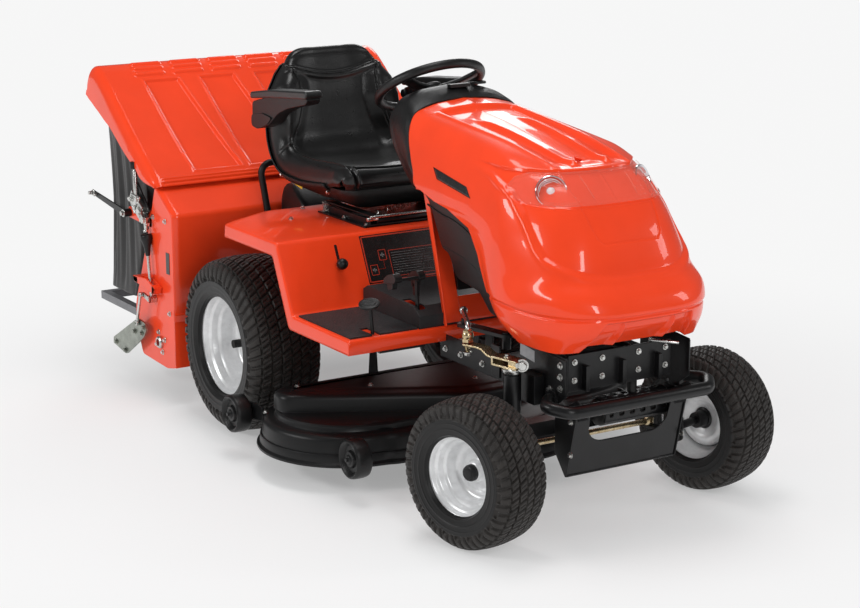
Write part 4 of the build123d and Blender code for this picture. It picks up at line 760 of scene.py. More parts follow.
# lift hangers, front and rear roller brackets, all in black enamel
gs = []
for s in (-1, 1):
    gs.append(g_prism([(-.87, .18), (-.81, .18), (-.825, .325), (-.855, .325)], s * .206, s * .212))
    gs.append(g_prism([(-.560, .113), (-.545, .160), (-.50, .163), (-.436, .143), (-.416, .127), (-.430, .112), (-.47, .110)], s * .466, s * .472))
    gs.append(g_prism([(-.994, .124), (-1.0, .150), (-.96, .170), (-.88, .172), (-.88, .13), (-.95, .118)], s * .560, s * .566))
    gs.append(g_rod(V(-.434, s * .466, .127), V(-.434, s * .532, .127), .008)); gs.append(g_rod(V(-.980, s * .560, .135), V(-.980, s * .628, .135), .008))
make("deck_brackets", merge(*gs), BLK, "deck", "deck_shell", bevel=.001, angle=30)
for nm, x, y, z in (("front_right", -.434, -.505, .127), ("front_left", -.434, .505, .127), ("rear_right", -.980, -.599, .135), ("rear_left", -.980, .599, .135)):
    s = 1 if y > 0 else -1; bd = "roller_" + nm[0] + nm.split("_")[1][0]; nd = "deck_roller_" + nm
    o = V(x, y, z); R_ = .0575; hw = .025
    pr = [(-.0215, .012), (-.0225, .016), (-.021, .022), (-.013, .026), (-.012, .038), (-.020, .044), (-.0245, .049), (-.025, .0515), (-.022, .0555), (-.014, .0572), (0, .0575), (.014, .0572), (.022, .0555), (.025, .0515), (.0245, .049), (.020, .044), (.012, .038), (.013, .026), (.021, .022), (.0225, .016), (.0215, .012)]
    make("roller_wheel_" + nm, g_rev(pr, o, (0, 1, 0), 48), SATIN, bd, nd, angle=45)
    cp = merge(g_rev([(.0205, .015), (.0235, .014), (.026, .011), (.0262, 0)], o, (0, s, 0), 24), g_bolt(o + np.array([0, s * .0255, 0]), (0, s, 0), .0065))
    make("roller_pin_" + nm, cp, BLK, bd, nd, angle=35)
paint(DARK, "deck_belt", "engine", "transaxle"); paint(BLK, "blade_spindle_centre", "blade_spindle_right", "blade_spindle_left")

# ------------------------------------------------------------------ chassis, bumper and front end
paint(BLK, "chassis_frame", "front_axle_beam", "pitman_arm", "steering_shaft"); paint(STEEL, "frame_bolts"); paint(GREY, "collector_frame"); paint(BRUSH, "sweeper_brush")
make("bumper_tube", g_tube([V(.092, -.219, .384), V(.150, -.268, .384), V(.205, -.225, .376), V(.205, .225, .376), V(.150, .268, .384), V(.092, .219, .384)], .018, .030, 24), BLK, "chassis", "bumper_guard", angle=60)
gs = [g_box(.066, .112, s * .200, s * .214, .360, .410) for s in (-1, 1)]
gs += [g_prism([(.070, .230), (.118, .172), (.123, .172), (.166, .345), (.200, .362), (.200, .386), (.166, .394), (.120, .366), (.070, .366)], s * .180, s * .1835) for s in (-1, 1)]
make("guard_cheeks", merge(*gs), BLK, "chassis", "bumper_guard", bevel=.0012, angle=30)
# guard plate: sloping sheet with the rounded window cut in its upper edge
yy = np.linspace(-.18, .18, 73); P = np.zeros((24, 73, 3))
for j, y in enumerate(yy):
    ay = abs(y); top = .362 if ay > .128 else .362
    zw = .264 + .058 - math.sqrt(max(0, .058 ** 2 - max(0, ay - .077) ** 2)) if ay < .135 else .362
    topz = .362 if ay > .1345 else min(.362, zw + (.0 if ay < .077 else 0))
    for i in range(24):
        z = .172 + (topz - .172) * i / 23; x = .118 + (z - .172) * (.046 / .19); P[i, j] = V(x, y, z)
make("guard_plate", g_grid(P), BLK, "chassis", "bumper_guard", angle=40, solid=.003, offset=0)
gs = []
for s in (-1, 1):
    gs.append(g_obox(V(.163, s * .16, .345), (1, 0, .24), (0, 1, 0), (-.24, 0, 1), .0015, .016, .010))
lipf = [V(.1195, -.178, .1735), V(.1195, .178, .1735)]
gs.append(g_tube(lipf, .0032, .01, 10))
make("guard_fold", merge(*gs), BLK, "chassis", "bumper_guard", angle=40)
make("guard_bolts", merge(*[g_bolt(V(.145 + FX * 0, s * .184, z), (0, s, 0), .0062) for s in (-1, 1) for z in (.24, .33)]), STEEL, "chassis", "bumper_guard", angle=30)
# silencer with its slotted heat shield
o = V(.084, 0, .322)
gs = [g_rev([(-.060, 0), (-.060, .030), (-.056, .0355), (-.050, .038), (.155, .038), (.161, .0355), (.165, .030), (.165, 0)], o, (0, 1, 0), 44)]
gs.append(g_tube([V(.084, .06, .350), V(.084, .06, .480), V(-.012, .06, .480)], .013, .03, 18))
make("silencer_body", merge(*gs), pbr("silencer_black", (.02, .019, .018), .5, metal=.5, var=.4, vscale=40, bump=.3, bscale=300), "chassis", "engine", angle=40)
P = np.zeros((17, 70, 3)); ang = np.linspace(math.radians(-35), math.radians(125), 17)
for i in range(17):
    for j in range(70): P[i, j] = V(.084 + .0425 * math.cos(ang[i]), -.058 + .222 * j / 69, .322 + .0425 * math.sin(ang[i]))
vv2, ff2 = g_grid(P)
keep = []
for f_ in ff2:
    i, j = divmod(f_[0], 70); slot_ = (i in (3, 4, 7, 8, 11, 12)) and (j % 11 in (3, 4, 5, 6, 7)) and 3 < j < 66
    if not slot_: keep.append(f_)
make("silencer_shield", (vv2, keep), BLK, "chassis", "engine", angle=40, solid=.0014, offset=0)
# engine block above the bed: finned cylinder, shroud and fan housing, seen only from outside through gaps
gs = [g_prism(rounded([(-.41, .64), (-.04, .64), (-.035, .70), (-.06, .792), (-.40, .792), (-.415, .72)], .02).tolist(), -.128, .128)]
gs += [g_prism([(-.15, .45 + k * .019), (-.012, .45 + k * .019), (-.012, .457 + k * .019), (-.15, .457 + k * .019)], -.104, .104) for k in range(10)]
gs.append(g_box(-.14, -.02, -.085, .085, .438, .64)); gs.append(g_rev([(0, .104), (.03, .104), (.037, .098), (.04, .088), (.04, 0)], V(-.22, 0, .797), (0, 0, 1), 48))
make("engine_block", merge(*gs), CAST, "chassis", "engine", bevel=.0015, angle=30)
# black side plates between the body and the front axle, with bolts, box brackets and a plain grey sticker
for s, tag in ((-1, "right"), (1, "left")):
    pl = [(-.470, .372), (.108, .372), (.150, .402), (.150, .505), (.060, .512), (-.02, .518), (-.068, .518), (-.068, .442), (-.47, .442)]
    gs = [g_prism(pl, s * .2002, s * .2032), g_prism([(.062, .392), (.148, .402), (.148, .500), (.062, .505)], s * .2032, s * .2062), g_prism([(-.02, .36), (.05, .36), (.05, .44), (-.02, .44)], s * .204, s * .236)]
    gs.append(g_prism([(-.20, .38), (-.16, .38), (-.16, .47), (-.20, .47)], s * .2032, s * .208))
    make("chassis_cheek_" + tag, merge(*gs), BLK, "chassis", "chassis_frame", bevel=.0014, angle=30)
    bl = [g_bolt(V(x, s * (.2062 if x > .06 else .2034), z), (0, s, 0), .0068) for x, z in ((.126, .483), (.126, .452), (.126, .42), (.078, .408), (-.25, .40), (-.36, .40), (-.44, .40))]
    make("cheek_bolts_" + tag, merge(*bl), STEEL, "chassis", "frame_bolts", angle=30)
    make("cheek_sticker_" + tag, g_prism([(-.066, .470), (.002, .463), (.002, .494), (-.066, .502)], s * .2033, s * .2039), STICKG, "chassis", "chassis_frame", bevel=.0002)
gs = [g_box(.104, .109, -.170, .170, .40, .50)] + [g_box(.109, .130, y - .006, y + .006, .40, .47) for y in (-.12, 0, .12)]
make("front_panel", merge(*gs), BLK, "chassis", "chassis_frame", bevel=.001, angle=30)
make("front_panel_bolts", merge(*[g_bolt(V(.1095, y, z), (1, 0, 0), .006) for y in (-.15, -.06, .06, .15) for z in (.43, .48)] + [g_rod(V(.10, .10, .505), V(.155, .16, .500), .0045)]), STEEL, "chassis", "frame_bolts", angle=30)


def turnv(x, y):
    return x * math.cos(a0) - y * math.sin(a0), x * math.sin(a0) + y * math.cos(a0)


for s, tag in ((-1, "right"), (1, "left")):
    K = (0., s * .273); bd = "knuckle_" + tag[0]
    gs = [g_rod(V(K[0], K[1], .165), V(K[0], K[1], .452), .0185, 32), g_rev([(0, .0), (0, .026), (.004, .028), (.060, .028), (.064, .026), (.064, 0)], V(K[0], K[1], .170), (0, 0, 1), 36)]
    ex, ey = turnv(0, s * .141)
    gs.append(g_rod(V(K[0], K[1], .203), V(K[0] + ex * .78, K[1] + ey * .78, .203), .0115)); tx, ty = turnv(-.090, 0)
    gs.append(g_obox(V(K[0] + tx / 2, K[1] + ty / 2, .190), (tx, ty, 0), (-ty, tx, 0), (0, 0, 1), .050, .014, .004))
    make("kingpin_" + tag, merge(*gs), BLK, bd, "knuckle_" + tag, bevel=.001, angle=35)
gs = [g_rev([(0, .0), (0, .0265), (.0035, .0285), (.010, .0285), (.013, .025), (.013, 0)], V(0, -.273, .446), (0, 0, 1), 36)]
make("kingpin_collar", merge(*gs), STEEL, "knuckle_r", "knuckle_right", angle=40)
# cranked steering arm with a clamp on the kingpin, right side
A = np.array([-.1608, -.3098]); Kp = np.array([0., -.273]); ad = unit(np.append(A - Kp, 0)); nd_ = np.array([-ad[1], ad[0], 0])
p = lambda t, z: V(Kp[0] + ad[0] * t, Kp[1] + ad[1] * t, z)
gs = []
for z in (.461, .481):
    gs.append(g_obox(p(.014, z), ad, nd_, (0, 0, 1), .045, .021, .003))
gs.append(g_obox(p(.056, .471), ad, nd_, (0, 0, 1), .0032, .021, .013)); gs.append(g_obox(p(-.012, .471), ad, nd_, (0, 0, 1), .016, .013, .010))
path = [p(.056, .478), p(.078, .480), p(.100, .492), p(.120, .494), p(.170, .492)]
sec = [(-.019, -.0028), (.019, -.0028), (.019, .0028), (-.019, .0028)]
P = np.zeros((len(path), 4, 3))
for i, q in enumerate(path):
    for k, (b_, h_) in enumerate(sec):
        tp = 1 - .18 * i / 4; P[i, k] = q + nd_ * b_ * tp + np.array([0, 0, h_])
g1 = g_grid(P, False, True); g1[1].append([0, 1, 2, 3]); g1[1].append([16, 17, 18, 19]); gs.append(g1)
gs.append(g_rev([(0, 0), (0, .0155), (.006, .0155), (.006, 0)], V(A[0], A[1], .4885), (0, 0, 1), 28))
make("steering_arm", merge(*gs), ZINC, "knuckle_r", "knuckle_right", bevel=.0014, angle=30)
gs = [g_bolt(p(-.035, .471) , unit(-ad + np.array([0, -.8, 0])), .0125, True, .012), g_bolt(p(.02, .484), (0, 0, 1), .007), g_rod(p(.0, .471), p(-.036, .471), .007)]
make("arm_clamp_bolts", merge(*gs), STEEL, "knuckle_r", "knuckle_right", angle=30)
# ball joint stack and bent drag link
aa_ = V(A[0], A[1], 0)
gs = [g_rev([(.470, 0), (.470, .006), (.478, .0075), (.484, .010), (.4868, .012), (.4870, 0)], aa_, (0, 0, 1), 28), g_ball(aa_ + [0, 0, .516], .0165), g_rev([(.4964, .0), (.4966, .012), (.4985, .0165), (.507, .0165), (.509, .0125)], aa_, (0, 0, 1), 6), g_rev([(.524, .0125), (.525, .0145), (.530, .0145), (.531, .0105), (.535, .0095)], aa_, (0, 0, 1), 6)]
make("ball_joint", merge(*gs), ZINC, "steer_link", "drag_link", angle=35)
gs = [g_tube([aa_ + [0, 0, .500], aa_ + [0, 0, .5475], V(-.19 - .1608, -.165 - .0368, .5305)], .0072, .02, 20), g_ball(V(-.19 - .1608, -.165 - .0368, .530), .0125), g_bolt(aa_ + [0, 0, .470], (0, 0, -1), .009)]
make("drag_rod", merge(*gs), STEEL, "steer_link", "drag_link", angle=40)
tx, ty = turnv(-.090, 0); E1, E2 = V(tx, -.273 + ty, .203), V(tx, .273 + ty, .203)
gs = [g_tube([E1, E1 * .9 + E2 * .1, E1 * .1 + E2 * .9, E2], .0082, .01, 20), g_rod(E1 - [0, 0, .010], E1 + [0, 0, .012], .014), g_rod(E2 - [0, 0, .010], E2 + [0, 0, .012], .014)]
make("track_rod_bar", merge(*gs), ZINC, "track_rod", "tie_rod", angle=40)
gs = [g_rod(V(-.16, -.13, .51), V(-.16, -.205, .51), .008), g_tube([V(-.20, -.18, .60), V(-.18, -.21, .63), V(-.19, -.20, .66), V(-.25, -.18, .68)], .0022, .02, 8)]
make("control_wire", gs[1], WIRE, "chassis", "engine", angle=60)
# coil spring beside the chassis
sp = [V(-.215 + .0075 * math.cos(k * .7), -.204 + .0075 * math.sin(k * .7), .575 + k * .0011) for k in range(56)]
make("small_spring", merge(g_tube(sp, .0016, .001, 6), g_bolt(V(-.215, -.2045, .64), (0, -1, 0), .006), g_bolt(V(-.235, -.2045, .60), (0, -1, 0), .0055)), STEEL, "chassis", "engine", angle=60)


# ------------------------------------------------------------------ grass collector
CT = np.array([(-1.640, .706), (-1.655, .722), (-1.753, .790), (-1.840, .852), (-1.945, .930), (-2.030, .994), (-2.085, 1.028), (-2.118, 1.038), (-2.142, 1.034), (-2.160, 1.015), (-2.168, .985), (-2.172, .940)])
CL = np.array([(-1.648, .704), (-1.695, .707), (-1.792, .747), (-1.872, .786), (-1.972, .848), (-2.030, .874), (-2.070, .893), (-2.100, .906), (-2.125, .918), (-2.145, .926), (-2.160, .934), (-2.170, .938)])
cs_ = np.concatenate([[0], np.cumsum(np.linalg.norm(np.diff(CT, axis=0), axis=1))])
nu = 300; su = np.linspace(0, cs_[-1], nu); ct = herm(su, cs_, CT); cl = herm(su, cs_, CL)
tg = np.gradient(ct, axis=0); tg /= np.linalg.norm(tg, axis=1, keepdims=True); cn = np.stack([-tg[:, 1], tg[:, 0]], 1); cn *= np.sign(cn[:, 1].sum())
yv = np.concatenate([np.linspace(-.515, .515, 420)])
S_, Y_ = np.meshgrid(su, yv, indexing="ij")


def seg_field(u, y, u0, y0, u1, y1, r):
    """smooth bead along a line in the sheet"""
    t = np.clip(((u - u0) * (u1 - u0) + (y - y0) * (y1 - y0)) / ((u1 - u0) ** 2 + (y1 - y0) ** 2), 0, 1)
    d_ = np.hypot(u - u0 - t * (u1 - u0), y - y0 - t * (y1 - y0)); return sstep(r, r * .25, d_)


U_ = S_ - cs_[1]; D = np.zeros_like(S_)
for k in range(6):
    yc_ = -.3555 + .1425 * k
    for q, u0 in enumerate((.551, .522, .493)):
        D += .0065 * seg_field(U_, Y_, u0 - .004 + .0 * k, yc_ - .047 - .004 * q, u0 - .004, yc_ + .047 - .004 * q, .0125)
# recessed tapering panels with raised ribs between them
for k in range(4):
    yL = -.395 + .205 * k; yR = yL + .130
    tt_ = np.clip((U_ - .012) / (.462 - .012), 0, 1)
    lft = yL + .020 * (1 - tt_) * (1 if k else .6); rgt = yR + .036 * (1 - tt_) + .014 * tt_ ** 4 * 0
    rgt = yR - .004 + .060 * (1 - tt_); lft = yL + .012 * (1 - tt_)
    a = np.minimum.reduce([(Y_ - lft), (rgt - Y_), (.458 - U_), (U_ - .030) + .0 * Y_])
    D -= .0062 * sstep(-.002, .0085, a)
    D += .0016 * np.exp(-((a + .004) / .0042) ** 2)
# three seam ribs above the front edge
for u0, h_ in ((.006, .0035), (-.006, .003), (-.0165, .0028)):
    D += h_ * np.exp(-((U_ - u0) / .0034) ** 2)
D -= .004 * sstep(-.001, -.012, U_)
D *= np.clip((.515 - np.abs(Y_)) / .01, 0, 1)
P = np.zeros((nu, len(yv), 3)); P[..., 0] = ct[:, 0][:, None] + cn[:, 0][:, None] * D + FX; P[..., 1] = Y_; P[..., 2] = ct[:, 1][:, None] + cn[:, 1][:, None] * D
# rounded ends and deep end flanges
R_ = .030; ends = []
for s in (-1, 1):
    cols = []
    for k in range(1, 11):
        a = math.pi / 2 * k / 10; off = .048 * (1 - math.cos(a)); dirv = cl - ct; ln = np.linalg.norm(dirv, axis=1, keepdims=True); dv = dirv / np.maximum(ln, 1e-9)
        dep = np.minimum(off, ln * .6)
        q = ct + dv * dep; cols.append(np.stack([q[:, 0] + FX, np.full(nu, s * (.515 + R_ * math.sin(a))), q[:, 1]], 1))
    for k in range(1, 9):
        w_ = k / 8; dep = np.minimum(.048, ln * .6); q = ct + dv * (dep + (ln - dep) * w_); cols.append(np.stack([q[:, 0] + FX, np.full(nu, s * .545), q[:, 1]], 1))
    q = cl; cols.append(np.stack([q[:, 0] + FX + .001, np.full(nu, s * .540), q[:, 1] + .004], 1))
    ends.append(np.array(cols))
P = np.concatenate([ends[0][::-1].transpose(1, 0, 2), P, ends[1].transpose(1, 0, 2)], axis=1)
make("canopy_moulding", g_grid(P), RED, "net_body", "collector_canopy", angle=60, solid=.004, offset=-1)

# housing: folded red sheet, cheek plates with rolled edges, brush tunnel
HS = [(-1.672, .700), (-1.550, .625), (-1.550, .126), (-1.616, .111), (-1.805, .118), (-1.852, .210), (-1.848, .289), (-1.790, .414), (-1.715, .584)]
gs = []
for s in (-1, 1):
    gs.append(g_prism(rounded(HS, .012, 4).tolist(), s * .526, s * .530))
HR = rounded([(-1.688, .708), (-1.672, .700), (-1.550, .625), (-1.550, .126)], .010, 6)
P = np.zeros((len(HR), 2, 3))
for i, (x, z) in enumerate(HR): P[i, 0] = V(x, -.530, z); P[i, 1] = V(x, .530, z)
housing = make("housing_cheeks", merge(*gs), REDB, "chassis", "collector_housing", bevel=.0016, angle=30)
front = [q for q in HR if q[1] > .280]
yy = np.linspace(-.529, .529, 40); P = np.zeros((len(front) + 1, 40, 3)); fr2 = list(front) + [np.array([-1.550, .28])]
for i, (x, z) in enumerate(fr2):
    for j, y in enumerate(yy): P[i, j] = V(x, y, z)
make("housing_front", g_grid(P), REDB, "chassis", "collector_housing", angle=40, solid=.004, offset=1)
gs = []
for s in (-1, 1):
    gs.append(g_prism([(-1.5535, .126), (-1.5535, .32), (-1.5495, .32), (-1.5495, .126)], s * .455, s * .530))
    gs.append(g_prism([(-1.555, .30), (-1.545, .30), (-1.545, .306), (-1.555, .306)], s * .455, s * .530))
gs.append(g_prism([(-1.715, .584), (-1.712, .590), (-1.690, .640), (-1.694, .642)], -.526, .526))
make("housing_returns", merge(*gs), REDB, "chassis", "collector_housing", bevel=.001, angle=30)
# red quadrant with its dark toothed slot, drawn as a plain slot between two plates without the teeth; lever bracket;
# pins
gs = []
QD = [(-1.800, .390), (-1.792, .372), (-1.640, .356), (-1.632, .378), (-1.700, .398)]
gs.append(g_prism(QD, -.560, -.5535)); gs.append(g_prism(QD, -.537, -.530))
gs.append(g_prism([(-1.655, .357), (-1.640, .356), (-1.632, .378), (-1.655, .385)], -.560, -.530)); gs.append(g_prism([(-1.800, .390), (-1.792, .372), (-1.762, .369), (-1.765, .391)], -.560, -.530))
gs.append(g_prism(rounded([(-1.700, .560), (-1.700, .620), (-1.885, .603), (-1.885, .567)], .012, 4).tolist(), -.530, -.5265))
make("lever_quadrant", merge(*gs), REDB, "chassis", "collector_housing", bevel=.0018, angle=30)
gs = [g_prism([(-1.757 + .0095 * k, .366), (-1.752 + .0095 * k, .366), (-1.752 + .0095 * k, .392), (-1.757 + .0095 * k, .392)], -.5515, -.5385) for k in range(0, 10, 1)]
gs = [g_prism([(-1.60, .43), (-1.60, .50), (-1.575, .50), (-1.575, .43)], -.5315, -.530)]
make("quadrant_mark", merge(*gs), STICK_AND_SLOT_SHADE, "chassis", "collector_housing", bevel=.0003)
gs = [g_bolt(V(-1.66 + .034 * math.cos(k), -.530, .19 + .034 * math.sin(k)), (0, -1, 0), .0062) for k in (.4, 1.97, 3.54, 5.11)]
gs += [g_bolt(V(x, -.530, z), (0, -1, 0), .006) for x, z in ((-1.60, .60), (-1.585, .30), (-1.69, .60))]
gs.append(g_rev([(0, .020), (.008, .020), (.012, .016), (.012, .012)], V(-1.66, -.530, .19), (0, -1, 0), 32))
make("housing_bolts", merge(*gs, mirror(merge(*gs))), STEEL, "chassis", "collector_housing", angle=30)
# latch cluster over the cheek: handle, toggle body, knobs
gs = [g_rod(V(-1.80, -.540, .745), V(-1.785, -.545, .645), .0075), g_obox(V(-1.775, -.543, .632), (1, 0, -.55), (0, 1, 0), (.55, 0, 1), .045, .010, .020), g_obox(V(-1.735, -.545, .600), (1, 0, -.6), (0, 1, 0), (.6, 0, 1), .028, .014, .012)]
gs += [g_bolt(V(x, -.553, z), (0, -1, 0), .0085, True) for x, z in ((-1.805, .642), (-1.77, .620), (-1.735, .600), (-1.705, .588), (-1.755, .648))]
gs += [g_rod(V(-1.825, -.548, .640), V(-1.78, -.552, .600), .005), g_rod(V(-1.80, -.552, .66), V(-1.74, -.552, .655), .0045), g_rod(V(-1.72, -.545, .59), V(-1.715, -.545, .555), .006), g_rod(V(-1.76, -.548, .645), V(-1.745, -.548, .575), .0055)]
gs += [g_ball(V(-1.828, -.549, .641), .0085), g_ball(V(-1.713, -.547, .552), .0085)]
make("latch_cluster", merge(*gs), STEEL, "chassis", "collector_housing", bevel=.0012, angle=35)
gs = [g_rod(V(-1.800, -.545, .765), V(-1.800, -.545, .742), .0105), g_prism([(-1.79, .70), (-1.70, .62), (-1.73, .59), (-1.80, .60), (-1.83, .64)], -.5385, -.533)]
make("latch_plate", merge(*gs), BLK, "chassis", "collector_housing", bevel=.001, angle=35)
# levers
gs = [g_rev([(-.003, .012), (.019, .012)], V(-1.690, -.534, .330), (0, -1, 0), 28), g_tube([V(-1.690, -.545, .336), V(-1.698, -.545, .400), V(-1.7095, -.545, .500)], .0052, .05, 14)]
gs.append(g_prism(rounded([(-1.737, .332), (-1.721, .332), (-1.682, .321), (-1.682, .339), (-1.721, .346), (-1.737, .346)], .006, 4).tolist(), -.560, -.553)); gs.append(g_rod(V(-1.729, -.553, .338), V(-1.729, -.574, .338), .0045))
make("height_lever_bar", merge(*gs), STEEL, "height_lever_body", "height_lever", bevel=.0008, angle=35)
ax = unit(V(-1.7165, -.545, .546) - V(-1.7075, -.545, .470))
make("height_lever_knob", g_rev([(0, .0065), (.004, .008), (.03, .0115), (.048, .0175), (.056, .0205), (.064, .0205), (.069, .0185), (.0715, .013), (.072, 0)], V(-1.7072, -.545, .470), ax, 40), SATIN, "height_lever_body", "height_lever", angle=50)
PL = rounded([(-1.716, .244), (-1.774, .250), (-1.980, .140), (-1.975, .120), (-1.875, .104), (-1.727, .196), (-1.710, .222)], .014, 5)
gs = [g_prism(PL.tolist(), -.560, -.554), g_rod(V(-1.766, -.553, .236), V(-1.766, -.574, .236), .0045)]
gs += [g_bolt(V(x, -.560, z), (0, -1, 0), .007) for x, z in ((-1.727, .228), (-1.745, .205), (-1.80, .20), (-1.955, .130), (-1.88, .118))]
make("height_crank_plate", merge(*gs), pbr("zinc_plate", (.30, .32, .28), .3, metal=1, var=.2, vscale=30, bump=.1, bscale=300, rvar=.1), "height_crank_body", "height_crank", bevel=.001, angle=30)
gs = [g_obox(V((-1.729 - 1.766) / 2, -.5665, (.338 + .236) / 2), unit(V(-1.766, 0, .236) - V(-1.729, 0, .338)), (0, 1, 0), np.cross(unit(V(-1.766, 0, .236) - V(-1.729, 0, .338)), (0, 1, 0)), .054, .003, .006)]
gs += [g_rod(V(x, -.5615, z), V(x, -.5715, z), .0092) for x, z in ((-1.729, .338), (-1.766, .236))]
make("height_link", merge(*gs), STEEL, "height_rod_body", "height_rod", bevel=.0008, angle=35)
TL = rounded([(-1.853, .574), (-1.856, .597), (-2.118, .622), (-2.124, .614), (-2.118, .606)], .004, 3)
gs = [g_prism(TL.tolist(), -.556, -.5505), g_rev([(-.004, .013), (.020, .013)], V(-1.867, -.536, .585), (0, -1, 0), 26)]
make("tip_lever_bar", merge(*gs), BLK, "tip_lever", "net_tip_lever", bevel=.0008, angle=35)
gs = [g_rod(V(-2.085, -.550, .611), V(-2.085, -.567, .611), .0052), g_bolt(V(-1.867, -.556, .585), (0, -1, 0), .009), g_bolt(V(-2.112, -.556, .614), (0, -1, 0), .008), g_tube([V(-2.085, -.563, .611), V(-2.04, -.563, .53), V(-1.98, -.563, .45)], .0035, .05, 10)]
gs = gs[:3] + [g_rod(V(-2.112, -.5505, .614), V(-2.112, -.574, .614), .006)]
make("tip_lever_pins", merge(*gs), STEEL, "tip_lever", "net_tip_lever", angle=35)


# ------------------------------------------------------------------ seat
CP = np.array([(-1.010, .757), (-.985, .760), (-.968, .772), (-.963, .792), (-.967, .812), (-.985, .824), (-1.020, .828), (-1.08, .822), (-1.16, .811), (-1.25, .803), (-1.33, .806), (-1.375, .824), (-1.400, .860), (-1.410, .915), (-1.418, .98),
               (-1.430, 1.04), (-1.446, 1.09), (-1.458, 1.122), (-1.466, 1.134), (-1.478, 1.139), (-1.490, 1.134), (-1.497, 1.118)])
sc_ = np.concatenate([[0], np.cumsum(np.linalg.norm(np.diff(CP, axis=0), axis=1))]); NS = 330
sq = np.linspace(0, sc_[-1], NS); cp = herm(sq, sc_, CP)
for _ in range(4): cp[1:-1] = (cp[:-2] + 2 * cp[1:-1] + cp[2:]) / 4
ctg = np.gradient(cp, axis=0); ctg /= np.linalg.norm(ctg, axis=1, keepdims=True); cnn = np.stack([ctg[:, 1], -ctg[:, 0]], 1)
if cnn[NS // 3, 1] < 0: cnn = -cnn
sb = np.interp(.86, cp[NS // 2:, 1], sq[NS // 2:]) if False else sc_[12]
hw_s = np.interp(sq, [0, sc_[2], sc_[4], sc_[6], sc_[8], sc_[10], sc_[12], sc_[13], sc_[14], sc_[15], sc_[16], sc_[17], sc_[18], sc_[21]], [.205, .222, .232, .236, .236, .236, .236, .236, .230, .216, .192, .170, .160, .146])
for _ in range(8): hw_s[1:-1] = (hw_s[:-2] + 2 * hw_s[1:-1] + hw_s[2:]) / 4
T_s = np.interp(sq, [0, sc_[1], sc_[3], sc_[5], sc_[7], sc_[10], sc_[12], sc_[14], sc_[16], sc_[18], sc_[21]], [.006, .012, .028, .046, .054, .046, .042, .042, .036, .026, .010])
bol_s = np.interp(sq, [0, sc_[4], sc_[6], sc_[8], sc_[10], sc_[11], sc_[12], sc_[13], sc_[14], sc_[15], sc_[16], sc_[17], sc_[21]], [0, 0, .004, .015, .022, .026, .030, .036, .036, .026, .010, 0, 0])
seam_s = np.interp(sq, [0, sc_[5], sc_[6], sc_[9], sc_[11], sc_[12], sc_[13], sc_[14], sc_[15], sc_[16], sc_[17], sc_[21]], [.84, .84, .83, .80, .80, .76, .66, .60, .64, .80, .98, 1.2])
for a_ in (T_s, bol_s, seam_s):
    for _ in range(10): a_[1:-1] = (a_[:-2] + 2 * a_[1:-1] + a_[2:]) / 4


def seat_h(i, t):
    """height over the centre surface at ring i (float array index), lateral t"""
    at = np.abs(t); T = T_s[i]; h = np.zeros_like(at)
    sm = seam_s[i]
    h += bol_s[i] * sstep(sm - .22, sm + .10, at) + .006 * sstep(.25, .75, at) * (bol_s[i] > 0)
    t0 = .78; q = np.clip((at - t0) / (1 - t0), 0, 1); h -= (T + bol_s[i] * .9) * (1 - np.sqrt(np.clip(1 - q ** 2.2, 0, 1)))
    h -= .0050 * np.exp(-((at - sm) / .010) ** 2) * (sm < 1)
    s_ = sq[i]
    # arc seam of the head panel with a soft roll below
    arc = sc_[15] + .020 + .062 * at ** 2.0; up = (s_ > sc_[14])
    h += up * (.0085 * np.exp(-((s_ - arc + .013) / .009) ** 2) - .0055 * np.exp(-((s_ - arc) / .0032) ** 2) - .0035 * sstep(arc, arc + .01, s_) * sstep(sc_[18], sc_[17], s_)) * (at < .93)
    # front lip seam and shallow gathers in the cushion top
    h -= .0042 * np.exp(-((s_ - sc_[5] - .004) / .0034) ** 2) * (at < .87)
    h += .004 * np.exp(-((s_ - sc_[6] - .012) / .016) ** 2) * np.cos(at * 5.2) * (s_ < sc_[8])
    # pinched corner notch
    n_ = np.exp(-((at - .845) / .016) ** 2) * sstep(sc_[1], sc_[3], s_) * sstep(sc_[6] + .004, sc_[5], s_); h -= .012 * n_
    h += .0035 * (np.exp(-((at - .885) / .02) ** 2) + np.exp(-((at - .80) / .02) ** 2)) * sstep(sc_[2], sc_[3], s_) * sstep(sc_[6] + .01, sc_[5], s_)
    # crease folds where cushion meets back at the sides
    h -= .005 * np.exp(-((s_ - sc_[11] - .01 * np.sin(at * 9)) / .006) ** 2) * sstep(.62, .85, at) * sstep(1.0, .93, at)
    return h


def seat_p(si, t, off=0.):
    i = int(np.clip(round(si), 0, NS - 1)); h = float(seat_h(np.array([i]), np.array([t]))[0]) + off
    y = hw_s[i] * (math.copysign(1, t) * (abs(t) - .0)); return V(cp[i, 0] + cnn[i, 0] * h, y, cp[i, 1] + cnn[i, 1] * h - .034 * float(sstep(sc_[14], sc_[17], sq[i])) * abs(t) ** 4)


TT = np.sin(np.linspace(-math.pi / 2, math.pi / 2, 190) * .995) ; TT = .5 * TT + .5 * np.linspace(-1, 1, 190)
II, TG = np.meshgrid(np.arange(NS), TT, indexing="ij"); HH = seat_h(II, TG)
top = np.stack([cp[:, 0][:, None] + cnn[:, 0][:, None] * HH + FX, hw_s[:, None] * TG, cp[:, 1][:, None] + cnn[:, 1][:, None] * HH], -1)
TU = np.linspace(.985, -.985, 24); IU, TV = np.meshgrid(np.arange(NS), TU, indexing="ij"); HU = -(T_s[:, None] + .004) + 0 * TV
_w = np.array([float(sstep(sc_[14], sc_[17], q_)) for q_ in sq]); top[..., 2] -= .034 * _w[:, None] * np.abs(TG) ** 4
und = np.stack([cp[:, 0][:, None] + cnn[:, 0][:, None] * HU + FX, hw_s[:, None] * TV * .985, cp[:, 1][:, None] + cnn[:, 1][:, None] * HU], -1)
und[..., 2] -= .034 * _w[:, None] * np.abs(TV) ** 4
